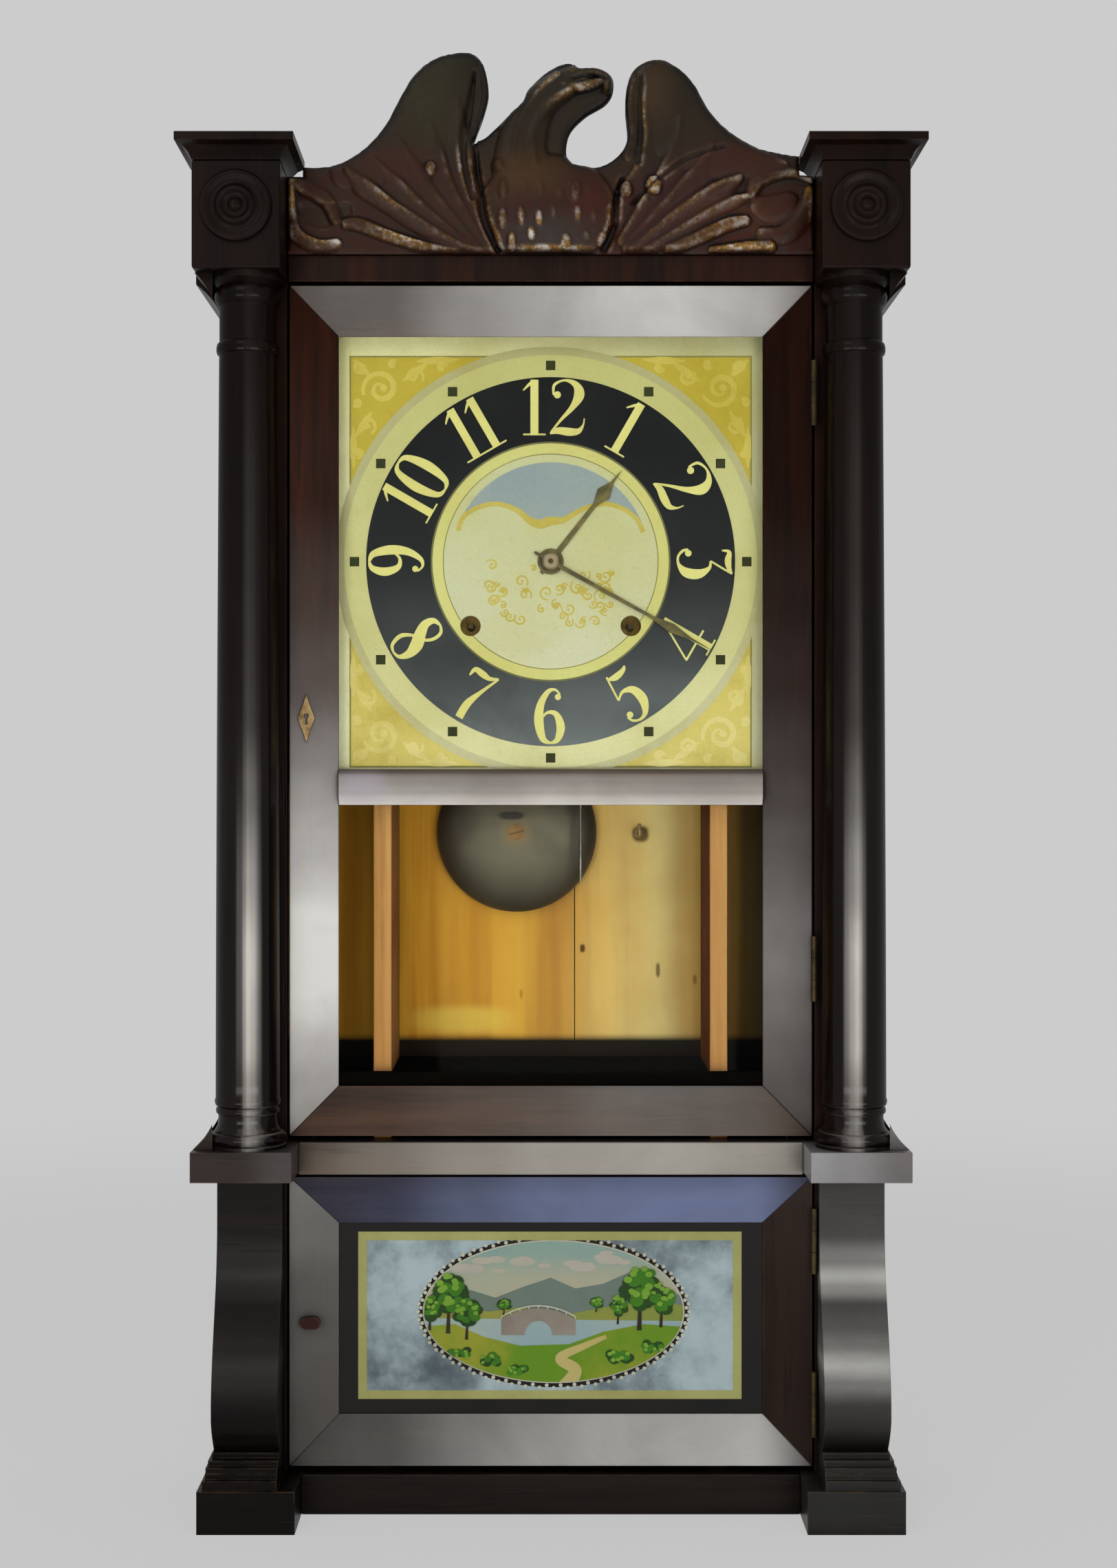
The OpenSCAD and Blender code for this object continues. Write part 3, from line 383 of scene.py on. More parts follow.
def paintGroup():
    # paint that has yellowed in clouds and gone finely crazed
    group, start, end = newGroup(
        "agedPaint",
        [("Vector", "Vector", None), ("Paint", "Color", None), ("Stain", "Color", None),
         ("Amount", "Float", 0.3), ("Craze", "Float", 0.1)],
        [("Color", "Color"), ("Height", "Float")])
    cloud = put(group, "TexNoise", {"Vector": start.outputs["Vector"], "Scale": 14.0, "Detail": 6.0,
                                    "Roughness": 0.62}).outputs[0]
    stain = calc(group, "MULTIPLY", span(group, cloud, 0.38, 0.68), start.outputs["Amount"])
    colour = blendColours(group, stain, start.outputs["Paint"], start.outputs["Stain"])
    cells = put(group, "TexVoronoi", {"Vector": start.outputs["Vector"], "Scale": 260.0},
                feature="DISTANCE_TO_EDGE").outputs["Distance"]
    crack = calc(group, "MULTIPLY", span(group, cells, 0.05, 0.0), start.outputs["Craze"])
    darker = blendColours(group, 1.0, colour, (0.45, 0.4, 0.28, 1), "MULTIPLY")
    group.links.new(blendColours(group, crack, colour, darker), end.inputs["Color"])
    grit = put(group, "TexNoise", {"Vector": start.outputs["Vector"], "Scale": 900.0}).outputs[0]
    group.links.new(calc(group, "SUBTRACT", calc(group, "MULTIPLY", grit, 0.3), crack), end.inputs["Height"])
    return group


def tarnishGroup():
    group, start, end = newGroup(
        "tarnish",
        [("Vector", "Vector", None), ("Metal", "Color", None), ("Tarnish", "Color", None),
         ("Amount", "Float", 0.5), ("Patch", "Float", 60.0)],
        [("Color", "Color"), ("Mask", "Float"), ("Height", "Float")])
    cloud = put(group, "TexNoise", {"Vector": start.outputs["Vector"], "Scale": start.outputs["Patch"],
                                    "Detail": 6.0, "Roughness": 0.65}).outputs[0]
    mask = calc(group, "MULTIPLY", span(group, cloud, 0.35, 0.65), start.outputs["Amount"])
    group.links.new(blendColours(group, mask, start.outputs["Metal"], start.outputs["Tarnish"]),
                    end.inputs["Color"])
    group.links.new(mask, end.inputs["Mask"])
    grit = put(group, "TexNoise", {"Vector": start.outputs["Vector"], "Scale": 700.0,
                                   "Detail": 4.0}).outputs[0]
    group.links.new(grit, end.inputs["Height"])
    return group


grainEffect, bloomSheenEffect, edgeEffect = grainGroup(), bloomGroup(), edgeGroup()
creviceDirtShadeEffect, paintEffect, tarnishEffect = creviceGroup(), paintGroup(), tarnishGroup()
print("shared effects ready")


# finishes

oldVarnish = {          # what a wood finish starts from; each finish below changes some of it
    "grain": "z", "dark": "#170d09", "light": "#33190f", "fine": 70.0, "broad": 9.0, "pores": 0.5,
    "stretch": 0.07, "hazeSheenShade": "#8f8a82", "sheenShadeZ": None, "sheenShadeX": None, "bloomSheen": 0.06, "patch": 9.0,
    "wear": "#6d5540", "edge": 0.5, "edgeRadius": 0.0014, "dirtShade": "#0a0705", "dirtShadeAmount": 0.7,
    "rough": (0.36, 0.52), "specular": 0.08, "coat": (0.0, 0.5), "coatRough": 0.22, "coatZ": None,
    "topSheen": None, "topSheenZ": None, "highlightFacing": None, "lean": 0.05, "shadeOnSides": False, "shadeX": None,
    "shadeZ": None, "marks": (), "outside": None, "bump": 0.00025,
}


def woodFinish(name, changes):
    look = {**oldVarnish, **changes}
    material, tree, shader = newMaterial(name)
    place = put(tree, "TexCoord").outputs["Object"]
    scale = {a: (look["stretch"] if a == look["grain"] else 1.0) for a in "xyz"}
    alongGrain = put(tree, "Mapping", {"Vector": place, "Scale": tuple(scale.values())}).outputs[0]
    grain = useGroup(tree, grainEffect, {
        "Vector": alongGrain, "Dark": tint(look["dark"]), "Light": tint(look["light"]),
        "Fine": look["fine"], "Broad": look["broad"], "Pores": look["pores"]})
    amount = None
    # masks along the height and width of the clock that place painted sheen, and on the guides painted shade
    for axis, stops in (("Z", look["sheenShadeZ"]), ("X", look["sheenShadeX"])):
        if stops:
            value = alongAxis(tree, axis, stops)
            amount = value if amount is None else calc(tree, "MULTIPLY", amount, value)
    faces = axisValue(tree, "X", "Normal")
    if look["highlightFacing"]:      # the painted highlight only where round work faces a little towards the middle of the clock
        leaning = calc(tree, "SUBTRACT", faces, look["lean"])
        outward = calc(tree, "MULTIPLY", leaning, calc(tree, "SIGN", axisValue(tree, "X")))
        inward = alongValue(tree, calc(tree, "MULTIPLY", outward, -1.0), look["highlightFacing"])
        amount = calc(tree, "MULTIPLY", amount, inward)
    # painted shade on side faces only, as strong as the surface faces sideways
    if look["shadeOnSides"]:
        amount = calc(tree, "MULTIPLY", amount, calc(tree, "ABSOLUTE", faces))
    # the tone of hazy varnish, which also serves as painted sheen, and on the guides as painted shade
    hazeSheenShade = tint(look["hazeSheenShade"])
    # a bluish painted reflection towards the top of a part
    if look["topSheen"]:
        hazeSheenShade = blendColours(tree, alongAxis(tree, "Z", look["topSheenZ"]), hazeSheenShade, tint(look["topSheen"]))
    wood = grain.outputs["Color"]
    if look["shadeX"]:
        wood = blendColours(tree, 1.0, wood, alongAxis(tree, "X", look["shadeX"]), "MULTIPLY")
    # hazy varnish mixed in, together with the painted sheen and painted shade that the masks place
    bloomSheen = useGroup(tree, bloomSheenEffect, {
        "Vector": place, "Wood": wood, "HazeSheenShade": hazeSheenShade,
        "Amount": look["bloomSheen"] if amount is None else amount, "Patch": look["patch"]})
    skin = bloomSheen.outputs["Color"]
    for mark in look["marks"]:      # knots, paler and darker patches, and on the muntin a painted sheen
        skin = marked(tree, skin, *mark)
    if look["shadeZ"]:
        skin = blendColours(tree, 1.0, skin, alongAxis(tree, "Z", look["shadeZ"]), "MULTIPLY")
    if look["outside"]:             # the face that stands to the wall
        weathered = blendColours(tree, grain.outputs["Height"], *map(tint, look["outside"]))
        skin = blendColours(tree, span(tree, axisValue(tree, "Y", "Normal"), 0.4, 0.6), skin, weathered)
    edge = useGroup(tree, edgeEffect, {"Vector": place, "Radius": look["edgeRadius"], "Amount": look["edge"]})
    # dirt and painted shade in corners and creases
    dirtShade = useGroup(tree, creviceDirtShadeEffect, {"Reach": 0.012, "Amount": look["dirtShadeAmount"]})
    worn = blendColours(tree, edge.outputs[0], skin, tint(look["wear"]))
    colour = blendColours(tree, dirtShade.outputs[0], worn, tint(look["dirtShade"]))
    roughness = spread(tree, bloomSheen.outputs["Mask"], 0.0, 1.0, look["rough"])
    bump = put(tree, "Bump", {"Height": grain.outputs["Height"], "Distance": look["bump"], "Strength": 0.8})
    if look["coatZ"]:
        coat = alongAxis(tree, "Z", look["coatZ"])
    else:
        coat = spread(tree, bloomSheen.outputs["Mask"], 0.02, 0.5, look["coat"])
    feed(tree, shader, {
        "Base Color": colour, "Roughness": roughness, "Normal": bump.outputs[0], "Coat Weight": coat,
        "Specular IOR Level": look["specular"], "Coat Roughness": look["coatRough"]})
    return material


metalLook = {"metal": "#8d7440", "tarnish": "#3a2c16", "amount": 0.7, "patch": 60.0, "metallic": 1.0,
             "rough": (0.32, 0.6), "bump": 0.0001, "specular": 0.5, "marks": ()}


def metalFinish(name, changes):
    look = {**metalLook, **changes}
    material, tree, shader = newMaterial(name)
    place = put(tree, "TexCoord").outputs["Object"]
    skin = useGroup(tree, tarnishEffect, {
        "Vector": place, "Metal": tint(look["metal"]), "Tarnish": tint(look["tarnish"]),
        "Amount": look["amount"], "Patch": look["patch"]})
    # dirt and painted shade in corners and creases
    dirtShade = useGroup(tree, creviceDirtShadeEffect, {"Reach": 0.004, "Amount": 0.6})
    colour = blendColours(tree, dirtShade.outputs[0], skin.outputs["Color"], tint("#0d0a07"))
    for mark in look["marks"]:      # patches of another colour, lighter or darker; on the bell one is a painted highlight
        colour = marked(tree, colour, *mark)
    bump = put(tree, "Bump", {"Height": skin.outputs["Height"], "Distance": look["bump"], "Strength": 0.7})
    feed(tree, shader, {
        "Base Color": colour, "Metallic": look["metallic"], "Normal": bump.outputs[0],
        "Specular IOR Level": look["specular"],
        "Roughness": span(tree, skin.outputs["Mask"], 0.0, 1.0, *look["rough"])})
    return material


paintLook = {"paint": "#c9c39a", "stain": "#a89c62", "amount": 0.4, "craze": 0.15, "rough": 0.55,
             "glareGradeZ": None, "glareGradeTo": "#ffffff", "shadeX": None, "specular": 0.1, "coat": 0.0}


def paintFinish(name, changes):
    look = {**paintLook, **changes}
    material, tree, shader = newMaterial(name)
    place = put(tree, "TexCoord").outputs["Object"]
    paint = tint(look["paint"])
    # colour graded along the height: on the dial a painted glare, lighter towards the bottom; on the tablet's
    # sky its own paler horizon
    if look["glareGradeZ"]:
        paint = blendColours(tree, alongAxis(tree, "Z", look["glareGradeZ"]), paint, tint(look["glareGradeTo"]))
    if look["shadeX"]:
        paint = blendColours(tree, 1.0, paint, alongAxis(tree, "X", look["shadeX"]), "MULTIPLY")
    skin = useGroup(tree, paintEffect, {
        "Vector": place, "Paint": paint, "Stain": tint(look["stain"]),
        "Amount": look["amount"], "Craze": look["craze"]})
    bump = put(tree, "Bump", {"Height": skin.outputs["Height"], "Distance": 0.00008, "Strength": 0.6})
    rough = span(tree, skin.outputs["Height"], -0.2, 0.3, look["rough"] + 0.1, look["rough"] - 0.05)
    feed(tree, shader, {
        "Base Color": skin.outputs["Color"], "Roughness": rough, "Normal": bump.outputs[0],
        "Specular IOR Level": look["specular"], "Coat Weight": look["coat"], "Coat Roughness": 0.08})
    return material


def glassFinish(name, changes):
    look = {"tint": "#f4f6ef", "rough": 0.015, "specular": 0.2, **changes}
    material, tree, shader = newMaterial(name)
    place = put(tree, "TexCoord").outputs["Object"]
    wave = put(tree, "TexNoise", {"Vector": place, "Scale": 9.0, "Detail": 2.0}).outputs[0]
    smear = put(tree, "TexNoise", {"Vector": place, "Scale": 30.0, "Detail": 6.0}).outputs[0]
    bump = put(tree, "Bump", {"Height": wave, "Distance": 0.0003, "Strength": 0.1})
    feed(tree, shader, {
        "Base Color": tint(look["tint"]), "Transmission Weight": 1.0, "IOR": 1.06,
        "Specular IOR Level": look["specular"], "Normal": bump.outputs[0],
        "Roughness": span(tree, smear, 0.45, 0.8, look["rough"], look["rough"] + 0.05)})
    clear = put(tree, "BsdfTransparent")
    path = put(tree, "LightPath")
    mixed = put(tree, "MixShader", {0: path.outputs["Is Shadow Ray"], 1: shader.outputs[0],
                                    2: clear.outputs[0]})
    surfaceOf(tree, mixed)
    return material


# camera, floor and lamps

view = {
    "place": (-0.007, -1.418, 0.465), "lens": 49.594, "sensor": 36.0,
    "imageSize": (1624, 2279), "axisPixel": (785, 1150),   # the pixel that the lens points at
}


def makeCamera():
    data = bpy.data.cameras.new("viewCamera")
    data.lens = view["lens"]
    data.sensor_width = view["sensor"]
    wide, tall = view["imageSize"]
    data.shift_x = (wide / 2 - view["axisPixel"][0]) / tall
    data.shift_y = (view["axisPixel"][1] - tall / 2) / tall
    camera = bpy.data.objects.new("viewCamera", data)
    camera.location = view["place"]
    camera.rotation_euler = (math.radians(90), 0, 0)
    bpy.context.scene.collection.objects.link(camera)
    bpy.context.scene.camera = camera


studio = {
    "backdrop": "#cccccc", "ambient": 0.38, "floorTone": "#f0f0f0", "floorSize": 8.0,
    "shadowReach": (0.9, 1.9),          # the floor's own shading fades out between these distances
    "lamps": [                          # name, place, aim, width, height, watts
        ("highSoftbox", (-0.9, -1.9, 2.0), (0, 0, 0.5), 1.1, 1.1, 7.4),
        ("lowBandRight", (0.79, -1.62, 0.26), (0.0, 0.0, 0.36), 0.9, 0.34, 6.2),
        ("lowBandMiddle", (0.06, -1.66, 0.25), (0.06, 0.0, 0.30), 0.42, 0.36, 1.4),
        ("lowBandLeft", (-0.78, -1.62, 0.26), (0.0, 0.0, 0.36), 0.8, 0.34, 5.0),
    ],
}


def isSeen(tree):
    # camera, mirror and glass rays see the plain backdrop
    path = put(tree, "LightPath")
    seen = calc(tree, "ADD", path.outputs["Is Camera Ray"], path.outputs["Is Glossy Ray"], clamp=True)
    return calc(tree, "ADD", seen, path.outputs["Is Transmission Ray"], clamp=True)


def makeStudio():
    world = bpy.data.worlds.new("studioWorld")
    bpy.context.scene.world = world
    world.use_nodes = True
    tree = world.node_tree
    tree.nodes.clear()
    ambient = put(tree, "Background", {0: (1, 1, 1, 1), 1: studio["ambient"]})
    backdrop = put(tree, "Background", {0: tint(studio["backdrop"]), 1: 1.0})
    mixed = put(tree, "MixShader", {0: isSeen(tree), 1: ambient.outputs[0], 2: backdrop.outputs[0]})
    tree.links.new(mixed.outputs[0], put(tree, "OutputWorld").inputs[0])

    half = studio["floorSize"] / 2
    mesh = bpy.data.meshes.new("studioFloor")
    mesh.from_pydata([(-half, -half, 0), (half, -half, 0), (half, half, 0), (-half, half, 0)], [],
                     [(0, 1, 2, 3)])
    floor = bpy.data.objects.new("studioFloor", mesh)
    bpy.context.scene.collection.objects.link(floor)
    material, tree, shader = newMaterial("studioFloor")
    feed(tree, shader, {"Base Color": tint(studio["floorTone"]), "Roughness": 0.9, "Specular IOR Level": 0.0})
    glow = put(tree, "Emission", {0: tint(studio["backdrop"]), 1: 1.0})
    place = put(tree, "TexCoord").outputs["Object"]
    away = put(tree, "VectorMath", {0: place}, operation="LENGTH").outputs["Value"]
    far = span(tree, away, *studio["shadowReach"], 0.8, 1.0)
    share = calc(tree, "MULTIPLY", far, isSeen(tree))
    mixed = put(tree, "MixShader", {0: share, 1: shader.outputs[0], 2: glow.outputs[0]})
    surfaceOf(tree, mixed)
    mesh.materials.append(material)

    for name, place, aim, wide, tall, watts in studio["lamps"]:
        data = bpy.data.lights.new(name, "AREA")
        data.shape = "RECTANGLE"
        data.size, data.size_y, data.energy = wide, tall, watts
        lamp = bpy.data.objects.new(name, data)
        lamp.location = place
        lamp.rotation_euler = (Vector(aim) - Vector(place)).to_track_quat("-Z", "Y").to_euler()
        bpy.context.scene.collection.objects.link(lamp)
    bpy.context.scene.view_settings.view_transform = "Standard"


makeCamera()
makeStudio()
print("camera and studio ready")


# wood, metal, glass and paint

# masks for painted sheen: the first strongest on the left of the clock, the second on the right
leftSheen = [(-0.2, 1.0), (-0.12, 0.95), (0.12, 0.22), (0.2, 0.18)]
rightSheen = [(-0.22, 0.05), (-0.1, 0.08), (0.1, 0.95), (0.22, 1.05)]
# painted shade: the back goes nearly black from just above the shelf downwards
shadedFoot = [(0.28, 0.005), (0.2935, 0.01), (0.297, 1.0), (0.94, 1.0)]

woods = {
    "frameWood": {"bloomSheen": 0.01},
    "blockWood": {"dark": "#0a0503", "light": "#1c0d07", "bloomSheen": 0.008, "edge": 0.35, "wear": "#4a3526"},
    # painted sheen, stronger towards the right foot
    "footWood": {"grain": "x", "dark": "#080504", "light": "#140d0a", "hazeSheenShade": "#6a6a66",
                 "sheenShadeX": [(-0.2, 0.01), (0.0, 0.03), (0.2, 0.14)]},
    # painted sheen, strongest on the right plinth
    "plinthWood": {"grain": "x", "dark": "#1c120c", "light": "#38291f", "hazeSheenShade": "#a9a9aa",
                   "sheenShadeX": [(-0.2, 0.03), (-0.165, 0.12), (0.16, 0.8), (0.185, 0.55), (0.22, 0.3)]},
    # painted sheen in two bands down each ogee, where a low lamp would catch its curves, strongest on the
    # right
    "ogeeWood": {"grain": "x", "dark": "#0c0908", "light": "#1c1613", "hazeSheenShade": "#b6b5b0", "edge": 0.2,
                 "sheenShadeX": rightSheen, "patch": 14.0,
                 "sheenShadeZ": [(0.05, 0.02), (0.077, 0.08), (0.092, 0.3), (0.103, 0.85), (0.115, 0.35),
                            (0.126, 0.2), (0.138, 0.14), (0.148, 0.6), (0.155, 1.0), (0.165, 0.4),
                            (0.181, 0.14), (0.22, 0.1)]},
    # painted sheen low on the stiles, strongest on the left; the right stile darker by painted shade
    "upperStileWood": {"dark": "#200a03", "light": "#401c0a", "hazeSheenShade": "#dedbd5", "sheenShadeX": leftSheen,
                       "edge": 0.3, "shadeX": [(-0.14, 1.0), (0.14, 0.36)], "specular": 0.03,
                       "sheenShadeZ": [(0.243, 0.42), (0.274, 0.56), (0.3, 0.68), (0.327, 0.9), (0.354, 1.1),
                                  (0.38, 0.96), (0.407, 0.7), (0.434, 0.56), (0.461, 0.4), (0.487, 0.28),
                                  (0.541, 0.12), (0.594, 0.06), (0.66, 0.015), (0.79, 0.004)]},
    # painted sheen, strong on the top rail and weaker on the bottom one, brightest right of the middle
    "upperRailWood": {"grain": "x", "dark": "#24130a", "light": "#503624", "hazeSheenShade": "#d6d4cf",
                      "sheenShadeZ": [(0.243, 0.18), (0.3, 0.22), (0.7, 0.95), (0.8, 1.05)],
                      "sheenShadeX": [(-0.16, 0.14), (-0.107, 0.18), (-0.054, 0.38), (0.0, 0.56), (0.044, 0.92),
                                 (0.08, 0.84), (0.106, 0.78), (0.133, 0.66), (0.165, 0.3)]},
    # a painted highlight along the lower edge, and a lilac-grey painted sheen at its left end
    "muntinWood": {"grain": "x", "dark": "#2c1e16", "light": "#544232", "hazeSheenShade": "#e6e0d8",
                   "sheenShadeZ": [(0.456, 1.0), (0.459, 0.8), (0.465, 0.46), (0.472, 0.3), (0.479, 0.1)],
                   "marks": [(-0.122, 0.467, 0.022, 0.014, "#b8b0be", 0.5, 0.2)]},
    # painted sheen, brightest right of the middle
    "midRailWood": {"grain": "x", "dark": "#33261d", "light": "#5c4d40", "hazeSheenShade": "#bdb8ae",
                    "sheenShadeX": [(-0.16, 0.1), (-0.105, 0.25), (-0.05, 0.44), (0.0, 0.62), (0.08, 0.72),
                               (0.135, 0.56), (0.16, 0.6)]},
    # painted sheen, strongest on the left stile and towards the top
    "lowerStileWood": {"dark": "#140b08", "light": "#281812", "hazeSheenShade": "#86847e", "specular": 0.04,
                       "sheenShadeZ": [(0.03, 0.44), (0.15, 0.48), (0.18, 0.74), (0.216, 1.0)],
                       "sheenShadeX": [(-0.17, 0.84), (-0.13, 0.8), (0.13, 0.06), (0.17, 0.08)]},
    # painted sheen, brightest right of the middle, with a bluish painted reflection along the top rail
    "lowerRailWood": {"grain": "x", "dark": "#181110", "light": "#302520", "hazeSheenShade": "#c4c2bd",
                      "topSheen": "#7e8bb4", "topSheenZ": [(0.12, 0.0), (0.18, 1.0)],
                      "sheenShadeZ": [(0.03, 0.96), (0.07, 0.9), (0.17, 0.98), (0.2, 0.95), (0.216, 0.7)],
                      "sheenShadeX": [(-0.16, 0.12), (-0.107, 0.16), (-0.054, 0.4), (0.0, 0.66), (0.08, 0.78),
                                 (0.13, 0.84), (0.165, 0.3)]},
    "baseRailWood": {"grain": "x", "dark": "#0f0907", "light": "#221813", "bloomSheen": 0.015},
    "sideWood": {"dark": "#190c06", "light": "#3a1c12", "bloomSheen": 0.06, "fine": 46.0, "broad": 6.0,
                 "specular": 0.2},
    "shelfWood": {"grain": "x", "dark": "#030201", "light": "#080504", "bloomSheen": 0.0, "edge": 0.05,
                  "rough": (0.36, 0.36), "specular": 0.0, "coat": (0.0, 0.0)},
    # painted light and shade: a paler lit strip right of the middle, lighter beside the guides, a dark right
    # edge, and nearly black just above the shelf
    "backPine": {"dark": "#a0650f", "light": "#d29c2c", "fine": 34.0, "broad": 7.0, "pores": 0.15,
                 "stretch": 0.05, "hazeSheenShade": "#eedc96", "edge": 0.1, "wear": "#d8b060", "patch": 16.0,
                 "shadeX": [(-0.15, 1.4), (-0.12, 1.4), (-0.1, 1.1), (0.0, 1.0), (0.1, 0.95), (0.115, 1.3),
                            (0.125, 1.1), (0.136, 0.3), (0.15, 0.02)],
                 "shadeZ": shadedFoot, "outside": ("#3c3022", "#6a5840"),
                 "marks": [(-0.06, 0.307, 0.042, 0.012, "#e2c458", 0.6, 0.4),
                           (0.0224, 0.3565, 0.0022, 0.0034, "#3c1604", 0.9),
                           (0.0745, 0.3415, 0.0018, 0.006, "#5c4416", 0.8),
                           (0.1, 0.335, 0.0018, 0.004, "#7a5a20", 0.7),
                           (-0.02, 0.325, 0.0014, 0.004, "#8a6a1c", 0.6),
                           (0.0625, 0.4355, 0.0065, 0.0065, "#4a2c0a", 0.85, 0.6)],     # round the key hook
                 "sheenShadeX": [(-0.13, 0.0), (-0.06, 0.02), (0.0, 0.08), (0.05, 0.45), (0.075, 0.72),
                            (0.095, 0.35), (0.11, 0.1)],
                 "dirtShade": "#2a1202", "dirtShadeAmount": 0.4, "rough": (0.6, 0.75), "coat": (0.0, 0.0),
                 "bump": 0.0003},
    # painted shade: the sides dark brown, more so towards the right
    "guidePine": {"dark": "#ac7840", "light": "#d8a468", "fine": 40.0, "broad": 9.0, "pores": 0.2,
                  "stretch": 0.06, "hazeSheenShade": "#552304", "shadeOnSides": True,
                  "sheenShadeX": [(-0.13, 0.6), (-0.08, 0.78), (0.08, 1.0), (0.13, 1.1)], "edge": 0.15,
                  "wear": "#c8a870", "dirtShade": "#341a06", "dirtShadeAmount": 0.6, "rough": (0.6, 0.75),
                  "coat": (0.0, 0.0)},
    "pinePlain": {"grain": "x", "dark": "#6c4418", "light": "#a07c40", "fine": 40.0, "pores": 0.2,
                  "hazeSheenShade": "#c0a470", "bloomSheen": 0.12, "edge": 0.15, "wear": "#c0a470", "dirtShade": "#1e1004",
                  "rough": (0.6, 0.75), "coat": (0.0, 0.0)},
    # a painted highlight up the front of each column, strongest low down, where the columns face a little
    # inward
    "columnWood": {"dark": "#070302", "light": "#150b07", "hazeSheenShade": "#cfc9c0", "edge": 0.15, "coatRough": 0.16,
                   "rough": (0.45, 0.45), "specular": 0.03,
                   "sheenShadeZ": [(0.24, 0.34), (0.28, 0.5), (0.306, 0.86), (0.357, 1.0), (0.409, 0.54),
                              (0.461, 0.27), (0.512, 0.08), (0.615, 0.04), (0.76, 0.012)],
                   "highlightFacing": [(-0.16, 0.0), (-0.11, 0.06), (-0.04, 0.5), (0.08, 1.0), (0.24, 0.7),
                              (0.4, 0.24), (0.54, 0.0)],
                   "coatZ": [(0.24, 0.3), (0.45, 0.3), (0.56, 0.2), (0.79, 0.12)]},
    "knobWood": {"dark": "#2a0a08", "light": "#4a1a12", "bloomSheen": 0.03},
    "seamDirt": {"dark": "#3a2208", "light": "#6a4414", "specular": 0.0, "coat": (0.0, 0.0), "edge": 0.0},
    "cordCotton": {"dark": "#8a7a58", "light": "#c4b48c", "fine": 300.0, "stretch": 0.5, "bloomSheen": 0.1,
                   "hazeSheenShade": "#d8ccaa", "rough": (0.8, 0.9), "coat": (0.0, 0.0), "edge": 0.0},
}
finish = {name: woodFinish(name, changes) for name, changes in woods.items()}
metals = {
    "brass": {},
    "darkBrass": {"metal": "#4c3c1c", "tarnish": "#1c150a", "rough": (0.45, 0.7), "metallic": 0.6},
    "lockBrass": {"metal": "#a08452", "tarnish": "#5c4424", "amount": 0.8, "rough": (0.4, 0.6),
                  "metallic": 0.5},
    "steel": {"metal": "#8a8a86", "tarnish": "#4a4038", "amount": 0.6},
    "bellMetal": {"metal": "#3c3426", "tarnish": "#241a10", "amount": 0.8, "rough": (0.42, 0.6),
                  "patch": 30.0, "metallic": 0.4,
                  # a paler middle that is a painted highlight on the dome, a tan patch round the screw, and a
                  # dark dash above the screw
                  "marks": [(-0.02, 0.424, 0.052, 0.05, "#635f4c", 0.75, 0.1),
                            (-0.023, 0.437, 0.013, 0.012, "#7e6436", 0.55, 0.2),
                            (-0.0265, 0.4485, 0.01, 0.0032, "#120c06", 0.9, 0.6)]},
    "castIron": {"metal": "#3a3836", "tarnish": "#2c2019", "metallic": 0.3, "rough": (0.5, 0.75),
                 "bump": 0.0004},
    "handMetal": {"metal": "#6a6030", "tarnish": "#2e2814", "metallic": 0.3, "rough": (0.4, 0.6),
                  "patch": 120.0, "marks": [(0.0, 0.615, 0.005, 0.005, "#9c8c72", 0.8, 0.7)]},
    "screwBronze": {"metal": "#7a5c34", "tarnish": "#2e1c10", "metallic": 0.7},
}
finish.update({name: metalFinish(name, changes) for name, changes in metals.items()})
finish["paneGlass"] = glassFinish("paneGlass", {})

